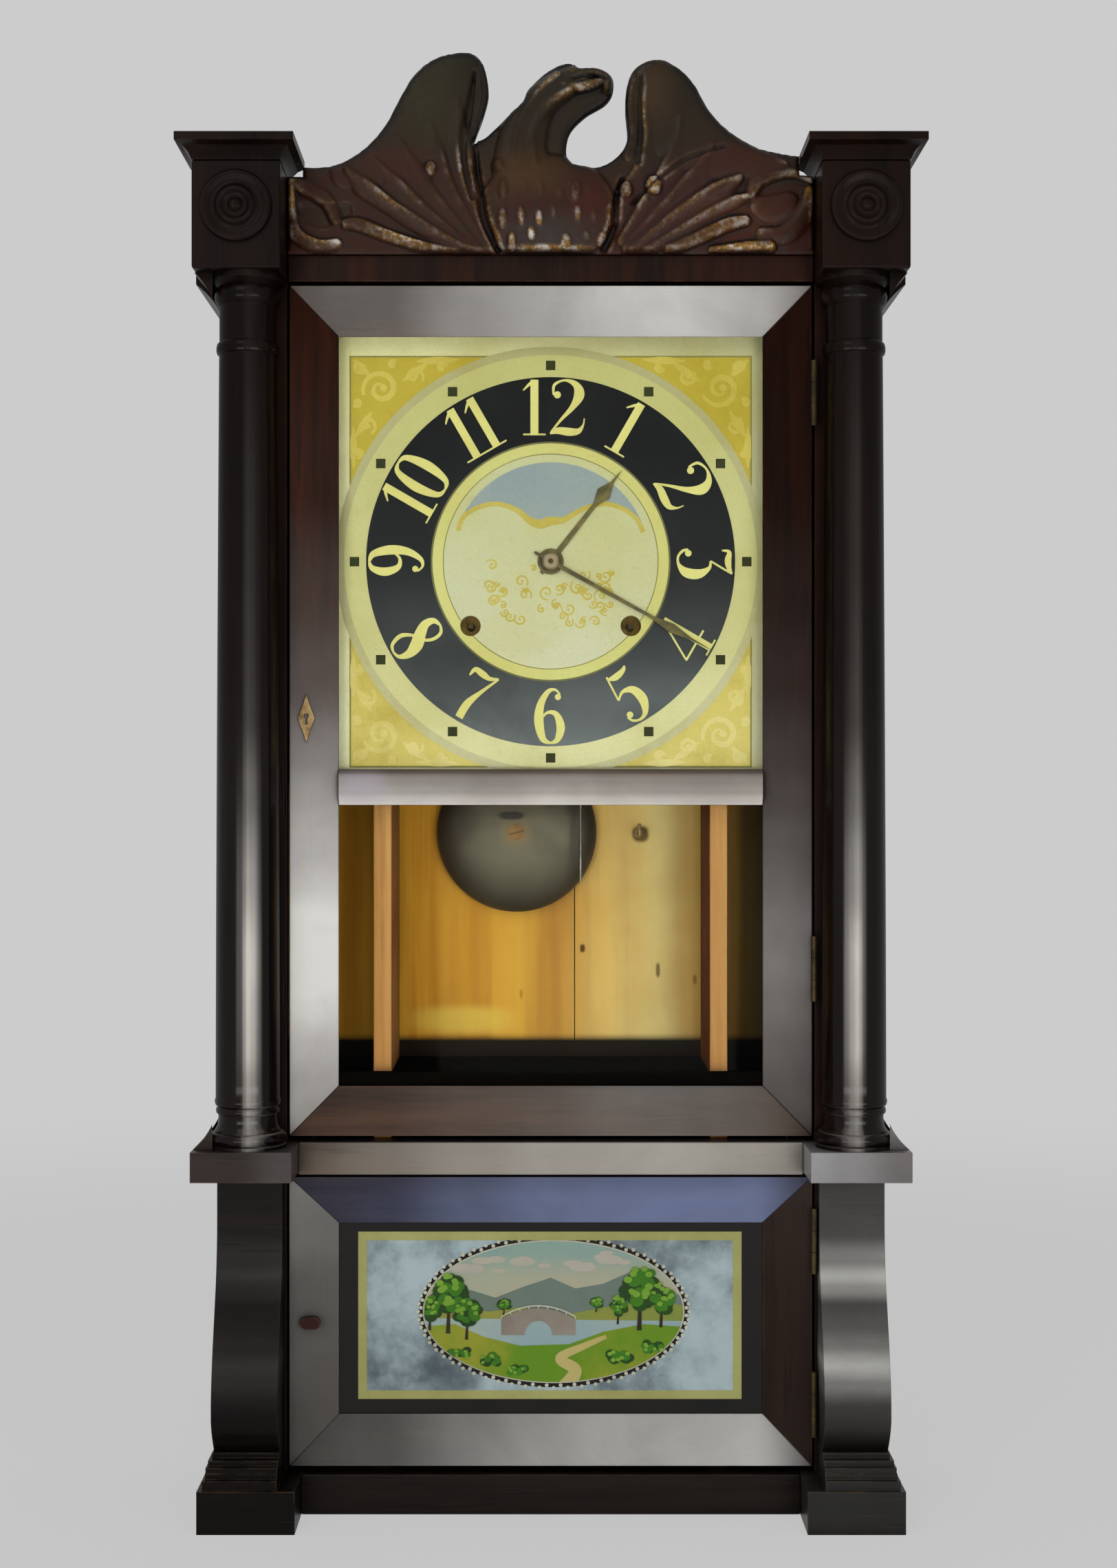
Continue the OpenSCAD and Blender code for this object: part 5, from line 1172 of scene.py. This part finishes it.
rosettes = {   # millimetres; (radius, height above the block)
    "centres": [(-197.3, 831.0), (197.3, 831.0)], "block": -68.0, "around": 112,
    "profile": [(0, 0), (22.5, 0), (22.5, 2.0), (21.7, 3.1), (20.5, 3.4), (19.0, 3.0), (17.5, 2.4),
                (16.0, 1.9), (14.5, 1.8), (13.4, 2.4), (12.5, 3.0), (12.0, 4.0), (11.3, 4.6), (10.4, 4.9),
                (9.6, 4.8), (8.8, 4.2), (8, 3.4), (6.6, 2.7), (5.2, 2.6), (4.4, 3.2), (3.4, 4.5), (2.0, 5.3),
                (0, 5.6)],
}


def makeColumns():
    middle, height, wide, tall = columns["ring"]
    ring = [(middle + wide * math.cos(math.radians(w)), height + tall * math.sin(math.radians(w)))
            for w in range(-60, 91, 15)]
    thickest, taper, low, long = columns["shaft"]
    shaft = [(thickest - taper * t ** columns["swell"], low + long * t) for t in np.linspace(0.02, 0.98, 24)]
    profile = columns["foot"] + ring + columns["neck"] + columns["beads"] + shaft + columns["top"]
    profile = [(r / 1000, z / 1000) for r, z in profile]
    x, y = (v / 1000 for v in columns["centre"])
    parts = [turned(profile, (side * x, y, 0), "z", columns["around"], columns["flatBack"] / 1000)
             for side in (-1, 1)]
    addPiece("turnedColumns", *joined(parts), "case", finish["columnWood"], ("columns",), "dark_wood", 38)


def makeRosettes():
    profile = [(r / 1000, h / 1000) for r, h in rosettes["profile"]]
    parts = [turned(profile, (x / 1000, rosettes["block"] / 1000, z / 1000), "y", rosettes["around"])
             for x, z in rosettes["centres"]]
    addPiece("turnedRosettes", *joined(parts), "case", finish["blockWood"], ("rosettes",), "dark_wood", 50)


makeColumns()
makeRosettes()
print("turned wood ready")


# bell

bell = {   # metres
    "centre": (-0.023, 0.437), "rim": 0.070, "radius": 0.055, "rise": 0.019, "thick": 0.0035, "lip": 0.0006,
    "hole": 0.0026, "around": 128,
}


def makeBell():
    r, rise, thick = bell["radius"], bell["rise"], bell["thick"]
    turns = [math.radians(w) for w in range(3, 91, 3)]
    outside = [(max(bell["hole"], r * math.sin(w)), rise * math.cos(w)) for w in turns]
    lip = [(r, 0.0), (r - bell["lip"], 0.0)]
    inside = [(max(bell["hole"], (r - thick) * math.sin(w)), (rise - thick) * math.cos(w))
              for w in reversed(turns)]
    profile = outside + lip + inside + outside[:1]
    x, z = bell["centre"]
    addPiece("strikeBell", *turned(profile, (x, bell["rim"], z), "y", bell["around"]), "case",
             finish["bellMetal"],
             ("bell",), "cast_iron", 40)


makeBell()


# old glue and dirt that has filled the seam of the two backboards

seam = {"x": 0.017, "half": 0.000295, "deep": (0.001, 0.0024), "ends": 0.0005, "back": 0.001,
        "steps": 180, "seed": 4}   # metres


def fillSeam():
    (_, front, low), (_, back, high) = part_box("backboards")
    chance = np.random.default_rng(seam["seed"])
    points, faces = [], []
    for k in range(seam["steps"] + 1):
        z = low + seam["ends"] + (high - low - 2 * seam["ends"]) * k / seam["steps"]
        sunk = chance.uniform(*seam["deep"])
        for x, y in ((-1, front + sunk), (1, front + sunk), (1, back - seam["back"]),
                     (-1, back - seam["back"])):
            points.append((seam["x"] + x * seam["half"], y, z))
    for k in range(seam["steps"]):
        for i in range(4):
            j = (i + 1) % 4
            faces.append((4 * k + i, 4 * k + j, 4 * k + 4 + j, 4 * k + 4 + i))
    faces += [(3, 2, 1, 0), tuple(4 * seam["steps"] + i for i in range(4))]
    addPiece("seamFill", points, faces, "case", finish["seamDirt"], (), "dark_wood")


fillSeam()


# cords that carry the weights, twisted

cords = {"x": 0.158, "y": 0.025, "low": 0.165, "top": 0.826, "radius": 0.00088, "strand": 0.00012,
         "pitch": 0.0062, "around": 12, "step": 0.0016}


def makeCords():
    count = int((cords["top"] - cords["low"]) / cords["step"])
    around = cords["around"]
    for side, word in ((-1, "left"), (1, "right")):
        points, faces = [], []
        for k in range(count + 1):
            z = cords["low"] + (cords["top"] - cords["low"]) * k / count
            for i in range(around):
                w = 2 * math.pi * i / around
                r = cords["radius"] + cords["strand"] * math.cos(3 * w - 2 * math.pi * z / cords["pitch"])
                points.append((side * cords["x"] + r * math.cos(w), cords["y"] + r * math.sin(w), z))
        for k in range(count):
            for i in range(around):
                j = (i + 1) % around
                faces.append((k * around + i, k * around + j, (k + 1) * around + j, (k + 1) * around + i))
        faces.append(tuple(reversed(range(around))))
        faces.append(tuple(count * around + i for i in range(around)))
        piece = addPiece(word + "CordFall", points, faces, word + "_weight", finish["cordCotton"],
                         ("cord_fall_" + word,), "cord", 60)
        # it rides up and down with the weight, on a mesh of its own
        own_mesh(piece)


makeCords()
print("bell and cords ready")


# painted dial: thin layers of paint and gilding on the dial board

dial = {   # millimetres about the middle of the dial; layers are counted outwards from the board
    "height": 615.0, "front": 6.0, "layer": 0.13, "winding": (52.4, -42.0, 6.75), "arbor": 5.0,
    "corners": (131.0, 134.0), "borderLine": 0.5, "boldness": 0.84, "lobeEdge": (1.5, 1.6),
    "gilt": (2.4, 0.0001), "discs": [
        (3, 140.3, "dialLine"), (4, 135.0, "dialCream"), (5, 120.6, "dialBlack"), (6, 78.4, "dialOlive"),
        (7, 77.2, "dialYellow"), (8, 70.5, "dialBrown"), (9, 69.9, "dialWhite")],
    "squares": (128.2, 3.1), "numerals": (100.9, 36.6), "inwardTops": (4, 5, 6, 7, 8),
    "pairs": {"10": (-0.32, 0.17), "11": (-0.2, 0.2), "12": (-0.29, 0.28)},
    "sky": 64.8,
    "lobes": [(-60.5, 20), (-57, 29), (-47, 35.5), (-34.5, 37.6), (-22, 33.5), (-14, 27), (-7, 24.5),
              (0, 26.5), (8, 27), (15, 31), (24, 35.5), (36, 37.6), (47, 34.5), (56, 28), (60.5, 19)],
    "cornerScroll": (111, 113, 12.0, 1.5, 200, 1.9),    # x, z, size, turns, start in degrees, width
    "smallScrolls": [(120, 89, 6, 60), (89, 121, 6, 30), (124, 127, 4.6, 220), (126, 71, 3.4, 100),
                     (71, 127, 3.4, 350), (127, 104, 3, 140), (103, 129, 3, 320)],  # x, z, size, start
    "smallTurns": 1.1, "smallWidth": 1.3, "leafWidth": (0.3, 2.2),
    "leaves": [(117, 98, 128, 81), (97, 118, 80, 130), (118, 121, 129, 132), (129, 88, 129, 61),
               (88, 131, 60, 132)],     # from x, z to x, z
    # small gilt scrolls scattered over an oval on the white: middle height, half width and half height
    "scrollSeed": 7, "scrolls": 46, "scrollOval": (-18, 50, 26), "scrollX": (-50, 44), "scrollZ": (-44, -1),
    "scrollSize": (2.0, 5.0), "scrollTurns": 1.2, "scrollWidth": 0.62,
    "clearOf": {"arbor": 12, "windingX": 14, "windingZ": -28},
}
# in a box one unit high: strokes of (x, height, half width), then round ends (x, height, radius)
digits = {
    "0": ([[(0, .985, .022), (s * .15, .9, .06), (s * .215, .5, .1), (s * .15, .1, .06), (0, .015, .022)]
           for s in (-1, 1)], []),
    "1": ([[(0, .99, .085), (0, .01, .085)], [(-.2, .8, .014), (-.1, .9, .03), (0, .965, .045)],
           [(-.2, .014, .018), (.2, .014, .018)]], []),
    "2": ([[(-.23, .72, .02), (-.21, .9, .03), (-.02, .98, .024), (.17, .9, .07), (.23, .72, .11),
            (.11, .5, .06), (-.1, .27, .03), (-.27, .06, .02)],
           [(-.29, .03, .02), (-.15, .08, .07), (.05, .06, .085), (.21, .07, .06), (.3, .18, .02),
            (.32, .3, .012)]],
          [(-.16, .72, .075)]),
    "3": ([[(-.2, .8, .015), (-.17, .93, .04), (-.02, .91, .07), (.12, .93, .05), (.22, .98, .02)],
           [(.22, .98, .018), (.1, .78, .02), (-.01, .6, .018)],
           [(-.01, .6, .02), (.12, .57, .04), (.22, .38, .1), (.19, .16, .1), (.05, .03, .035),
            (-.09, .02, .025), (-.19, .1, .03), (-.22, .2, .02)]], [(-.15, .2, .07)]),
    "4": ([[(.1, .99, .078), (.1, .01, .078)], [(.08, .98, .02), (-.3, .3, .02)],
           [(-.32, .28, .022), (.3, .28, .022)], [(-.06, .014, .018), (.26, .014, .018)]], []),
    "5": ([[(-.17, .97, .02), (-.19, .5, .02)],
           [(-.17, .92, .02), (-.03, .89, .07), (.14, .93, .05), (.21, .99, .02)],
           [(-.19, .5, .02), (-.05, .6, .035), (.13, .54, .08), (.2, .32, .1), (.13, .1, .06), (0, .02, .03),
            (-.14, .06, .025), (-.2, .16, .02)]], [(-.14, .18, .07)]),
    "6": ([[(.17, .88, .02), (.08, .97, .026), (-.05, .93, .05), (-.18, .7, .08), (-.21, .4, .1),
            (-.14, .1, .07), (0, .015, .024)],
           [(-.19, .42, .02), (-.06, .56, .03), (.1, .53, .06), (.18, .3, .09), (.12, .08, .06),
            (0, .015, .024)]],
          [(.13, .84, .065)]),
    "7": ([[(-.24, .78, .018), (-.2, .92, .05), (-.04, .91, .07), (.1, .9, .045), (.25, .97, .025)],
           [(.25, .97, .02), (.09, .62, .04), (-.02, .32, .08), (-.03, .03, .085)]], []),
    "8": ([[(0, .985, .024), (-.13, .92, .06), (-.15, .76, .09), (-.05, .6, .12), (.09, .44, .135),
            (.16, .25, .09), (.12, .07, .04), (0, .015, .024)],
           [(0, .985, .024), (.12, .92, .035), (.15, .76, .035), (.08, .6, .03), (-.08, .48, .03),
            (-.19, .28, .045), (-.13, .07, .035), (0, .015, .024)]], []),
}
digits["9"] = ([[(-x, 1 - y, w) for x, y, w in stroke] for stroke in digits["6"][0]],
               [(-x, 1 - y, r) for x, y, r in digits["6"][1]])


def paintLayer(name, polygons, level, look, holes=(), within=None, on=dial, body="case",
               slotName="dial_paint"):
    corners, triangles = flatUnion(polygons, holes, within)
    corners = (corners + (0, on["height"])) / 1000
    front = -(on["front"] + level * on["layer"]) / 1000
    points, faces = thickSheet(corners, triangles, front, front + 0.0002)
    return addPiece(name, points, faces, body, finish[look], (), slotName, 30)


def curl(x, z, size, turns, start, hand, width):
    # one scroll that winds in on itself
    steps = int(26 * turns)
    line, widths = [], []
    for k in range(steps + 1):
        t = k / steps
        w = start + hand * turns * 2 * math.pi * t
        r = size * (1 - 0.85 * t)
        line.append((x + r * math.cos(w), z + r * math.sin(w)))
        widths.append(width * (0.25 + 0.75 * math.sin(math.pi * min(1.0, 0.12 + t))) + 0.05)
    return ribbon(line, widths) + [disc(line[-1][0], line[-1][1], width * 1.3, 10)]


def digitShapes(digit):
    strokes, balls = digits[digit]
    shapes = []
    for stroke in strokes:
        path = smoothLine(stroke, 8)
        shapes += ribbon(path[:, :2], path[:, 2] * dial["boldness"])
    return shapes + [disc(x, y, r * dial["boldness"], 20) for x, y, r in balls]


def numeralShapes(hour):
    turn = math.radians(30 * hour)
    outward = np.array([math.sin(turn), math.cos(turn)])
    up = -outward if hour in dial["inwardTops"] else outward
    right = np.array([up[1], -up[0]])
    reach, size = dial["numerals"]
    word, shapes = str(hour), []
    for digit, shift in zip(word, dial["pairs"].get(word, (0.0,))):
        for shape in digitShapes(digit):
            shapes.append([outward * reach + size * ((x + shift) * right + (y - 0.5) * up) for x, y in shape])
    return shapes


def makeDial():
    x, z, r = dial["winding"]
    holes = [disc(x, z, r, 32), disc(-x, z, r, 32), disc(0, 0, dial["arbor"], 24)]
    wide, tall = dial["corners"]

    def frameShape(extra):
        return [((wide + extra) * p, (tall + extra) * q) for p, q in ((-1, -1), (1, -1), (1, 1), (-1, 1))]

    board = frameShape(0)
    paintLayer("dialCorners", [board], 1, "dialGold", [disc(0, 0, 120, 120)])
    paintLayer("dialBorderLine", [frameShape(dial["borderLine"])], 2, "dialBrown",
               [frameShape(-dial["borderLine"])])
    for level, radius, look in dial["discs"]:
        paintLayer("dialRing" + str(level), [disc(0, 0, radius, 180)], level, look, holes)
    away, half = dial["squares"]
    squares = []
    for hour in range(12):
        w = math.radians(30 * hour)
        u, v = away * math.sin(w), away * math.cos(w)
        squares.append([(u - half, v - half), (u + half, v - half), (u + half, v + half),
                        (u - half, v + half)])
    paintLayer("dialSquares", squares, 5, "dialOliveDark")
    for hour in range(1, 13):
        paintLayer("dialNumeral" + str(hour), numeralShapes(hour), 6, "dialNumeral")

    scrolls = []
    for sx in (-1, 1):
        for sz in (-1, 1):
            px, pz, size, turns, start, width = dial["cornerScroll"]
            scrolls += curl(sx * px, sz * pz, size, turns, math.radians(start), sx * sz, width)
            for px, pz, size, start in dial["smallScrolls"]:
                scrolls += curl(sx * px, sz * pz, size, dial["smallTurns"], math.radians(start) * sx * sz,
                                -sx * sz, dial["smallWidth"])
            tip, belly = dial["leafWidth"]
            for bx, bz, ex, ez in dial["leaves"]:
                shares = np.linspace(0, 1, 9)
                leaf = [((bx + (ex - bx) * t) * sx, (bz + (ez - bz) * t) * sz) for t in shares]
                scrolls += ribbon(leaf, [tip + belly * math.sin(math.pi * t) for t in shares])
    level, rounding = dial["gilt"]     # the gilding stands out a little, with rounded edges
    raised = paintLayer("dialSpandrels", scrolls, level, "dialGilt", within=board)
    bevel = raised.modifiers.new("rounded", "BEVEL")
    bevel.width, bevel.segments, bevel.limit_method = rounding, 1, "ANGLE"

    path = smoothLine(dial["lobes"], 8)
    first, last = math.atan2(path[-1][1], path[-1][0]), math.atan2(path[0][1], path[0][0])
    arc = [(dial["sky"] * math.cos(w), dial["sky"] * math.sin(w)) for w in np.linspace(first, last, 60)]
    paintLayer("dialSky", [arc + [tuple(p) for p in path[1:-1]]], 10, "dialBlue")
    least, more = dial["lobeEdge"]      # the gilt edge is widest between the two lobes
    paintLayer("dialLobeEdge", ribbon(path, least + more * np.exp(-((path[:, 0] + 4) / 12) ** 2)), 11,
               "dialGiltSoft")
    chance = np.random.default_rng(dial["scrollSeed"])
    curls = []
    middle, halfWide, halfTall = dial["scrollOval"]
    away = dial["clearOf"]
    while len(curls) < dial["scrolls"]:
        px, pz = chance.uniform(*dial["scrollX"]), chance.uniform(*dial["scrollZ"])
        size, start = chance.uniform(*dial["scrollSize"]), chance.uniform(0, 6.28)
        hand = chance.choice((-1, 1))
        clear = abs(abs(px) - dial["winding"][0]) > away["windingX"] or pz > away["windingZ"]
        within = (px / halfWide) ** 2 + ((pz - middle) / halfTall) ** 2 < 1
        if within and clear and math.hypot(px, pz) > away["arbor"]:
            curls.append(curl(px, pz, size, dial["scrollTurns"], start, hand, dial["scrollWidth"]))
    paintLayer("dialScrolls", [shape for one in curls for shape in one], 10, "dialGiltSoft")


makeDial()
print("dial painted")


# painted glass of the lower door: a gold line frame, and an oval landscape in a beaded border

tablet = {   # millimetres in the plane of the glass
    "height": 127.5, "front": 16.5, "layer": 0.14, "frame": (-124.9, 123.8, -56.7, 51.8), "frameWidth": 5.6,
    "oval": (1.9, 0.0, 84.0, 45.5), "beadRing": 3.6, "beads": 120, "beadRadius": 1.25, "seed": 11,
    "hills": [(-90, -2), (-70, 8), (-52, 14), (-36, 9), (-18, 16), (0, 22), (16, 15), (34, 18), (52, 26),
              (72, 16), (90, 8), (90, -8), (-90, -8)],
    "nearHills": [(-90, 2), (-66, 5), (-40, 0), (-20, 3), (10, -2), (40, 4), (66, 8), (90, 3), (90, -14),
                  (-90, -14)],
    "water": [(-90, -4), (90, -6), (90, -22), (-90, -26)],
    "meadow": [(-90, -10), (-62, -8), (-44, -16), (-20, -22), (12, -21), (34, -13), (60, -8), (90, -10),
               (90, -60), (-90, -60)],
    "path": [(8, -50), (16, -38), (6, -30), (22, -22), (36, -16)],
    "bridge": {"middle": (-8, -8), "half": 24, "rise": 7, "thick": 3.4, "foot": 7, "arch": (9, 9.2),
               "railGap": 1.6, "railWidth": 0.45, "postTop": 0.2, "postWidth": 0.4, "postEvery": 3},
    "clouds": {"count": 16, "x": (-60, 60), "z": (26, 40), "size": (4, 9), "flat": 0.34},
    # (x, foot, height, width)
    "trees": [(-66, -14, 38, 24), (-54, -18, 26, 18), (58, -12, 42, 26), (72, -10, 28, 18),
              (44, -8, 18, 12), (-30, -2, 10, 9), (30, 0, 9, 9), (-78, -12, 22, 16)],
    "bushes": [(-40, -34, 12, 7), (-22, -40, 10, 5), (44, -32, 14, 7), (66, -26, 12, 7), (-60, -30, 12, 6)],
}


def makeTablet():
    left, right, low, high = tablet["frame"]
    wide = tablet["frameWidth"]
    outer = [(left, low), (right, low), (right, high), (left, high)]
    inner = [(left + wide, low + wide), (right - wide, low + wide), (right - wide, high - wide),
             (left + wide, high - wide)]
    x, z, rx, rz = tablet["oval"]

    def oval(extra, n=120):
        return [(x + (rx + extra) * math.cos(2 * math.pi * k / n),
                 z + (rz + extra) * math.sin(2 * math.pi * k / n))
                for k in range(n)]

    def layer(name, shapes, level, look, holes=(), within=None):
        paintLayer(name, shapes, level, look, holes, within, tablet, "lower_door", "painted_glass")

    field, ring = oval(0), tablet["beadRing"]
    layer("tabletGround", [inner], 1, "tabletBlue")
    layer("tabletFrame", [outer], 2, "tabletGold", [inner])
    layer("tabletOvalEdge", [oval(ring)], 2, "tabletBlack", within=inner)
    layer("tabletOvalLine", [oval(0.9)], 3, "tabletWhite", within=inner)
    beads = []
    for k in range(tablet["beads"]):
        w = 2 * math.pi * k / tablet["beads"]
        reach = ring - 1.3 if k % 2 else ring + 0.4
        beads.append(disc(x + (rx + reach) * math.cos(w), z + (rz + reach) * math.sin(w),
                          tablet["beadRadius"], 10))
    layer("tabletBeads", beads, 4, "tabletWhite", within=inner)
    layer("tabletSky", [field], 4, "tabletSky")
    chance = np.random.default_rng(tablet["seed"])
    cloud = tablet["clouds"]
    clouds = [disc(*(chance.uniform(*cloud[k]) for k in ("x", "z", "size")), 20, cloud["flat"])
              for _ in range(cloud["count"])]
    layer("tabletClouds", clouds, 5, "tabletCloud", within=field)
    layer("tabletHills", [tablet["hills"]], 5, "tabletHill", within=field)
    layer("tabletNearHills", [tablet["nearHills"]], 6, "tabletFarGreen", within=field)
    layer("tabletWater", [tablet["water"]], 7, "tabletWater", within=field)
    layer("tabletMeadow", [tablet["meadow"]], 8, "tabletGreen", within=field)
    path = smoothLine(tablet["path"], 8)
    layer("tabletPath", ribbon(path, np.linspace(5, 1.2, len(path))), 9, "tabletSand", within=field)
    bridge = tablet["bridge"]
    bx, bz = bridge["middle"]
    wides = np.linspace(-1, 1, 25)
    deck = [(bx + bridge["half"] * t, bz + bridge["rise"] * (1 - t * t) + bridge["thick"]) for t in wides]
    ground = bz - bridge["foot"]
    foot = [(bx + bridge["half"], ground), (bx - bridge["half"], ground)]
    archWide, archTall = bridge["arch"]
    arch = [(bx + archWide * math.cos(w), ground + archTall * math.sin(w))
            for w in np.linspace(0, math.pi, 20)]
    layer("tabletBridge", [deck + foot], 9.5, "tabletStone", [arch], field)
    gap, half, top = bridge["railGap"], bridge["postWidth"], bridge["postTop"]
    rail = [(p, q + gap) for p, q in deck]
    posts = [[(p - half, q - gap), (p + half, q - gap), (p + half, q + top), (p - half, q + top)]
             for p, q in rail[::bridge["postEvery"]]]
    layer("tabletRail", ribbon(rail, [bridge["railWidth"]] * len(rail)) + posts, 10, "tabletWhite",
          within=field)
    leaves = {"tabletLeafDark": [], "tabletLeaf": [], "tabletLeafLight": []}
    trunks = []
    for tx, foot, tall, wide in tablet["trees"]:
        trunks += ribbon([(tx - 0.6, foot), (tx, foot + tall * 0.5)], [wide * 0.06, wide * 0.03])
        for look, count, size, lift in (("tabletLeafDark", 16, 0.24, 0.0), ("tabletLeaf", 15, 0.17, 0.04),
                                        ("tabletLeafLight", 12, 0.1, 0.1)):
            for _ in range(count):
                w, reach = chance.uniform(0, 2 * math.pi), chance.uniform(0.1, 1) ** 0.5
                leaves[look].append(disc(tx + 0.36 * wide * reach * math.cos(w),
                                         foot + tall * (0.66 + lift + 0.27 * reach * math.sin(w)),
                                         wide * size * chance.uniform(0.7, 1.1), 12, 0.8))
    for tx, foot, wide, tall in tablet["bushes"]:
        for look, count, size in (("tabletLeafDark", 7, 0.3), ("tabletLeaf", 7, 0.22),
                                  ("tabletLeafLight", 6, 0.12)):
            for _ in range(count):
                leaves[look].append(disc(tx + wide * chance.uniform(-0.5, 0.5),
                                         foot + tall * chance.uniform(0.1, 0.9),
                                         wide * size * chance.uniform(0.7, 1.0), 12, 0.8))
    layer("tabletTrunks", trunks, 10, "tabletTrunk", within=field)
    for level, (look, shapes) in enumerate(leaves.items()):
        layer(look + "Shapes", shapes, 11 + level, look, within=field)


makeTablet()
print("tablet painted")
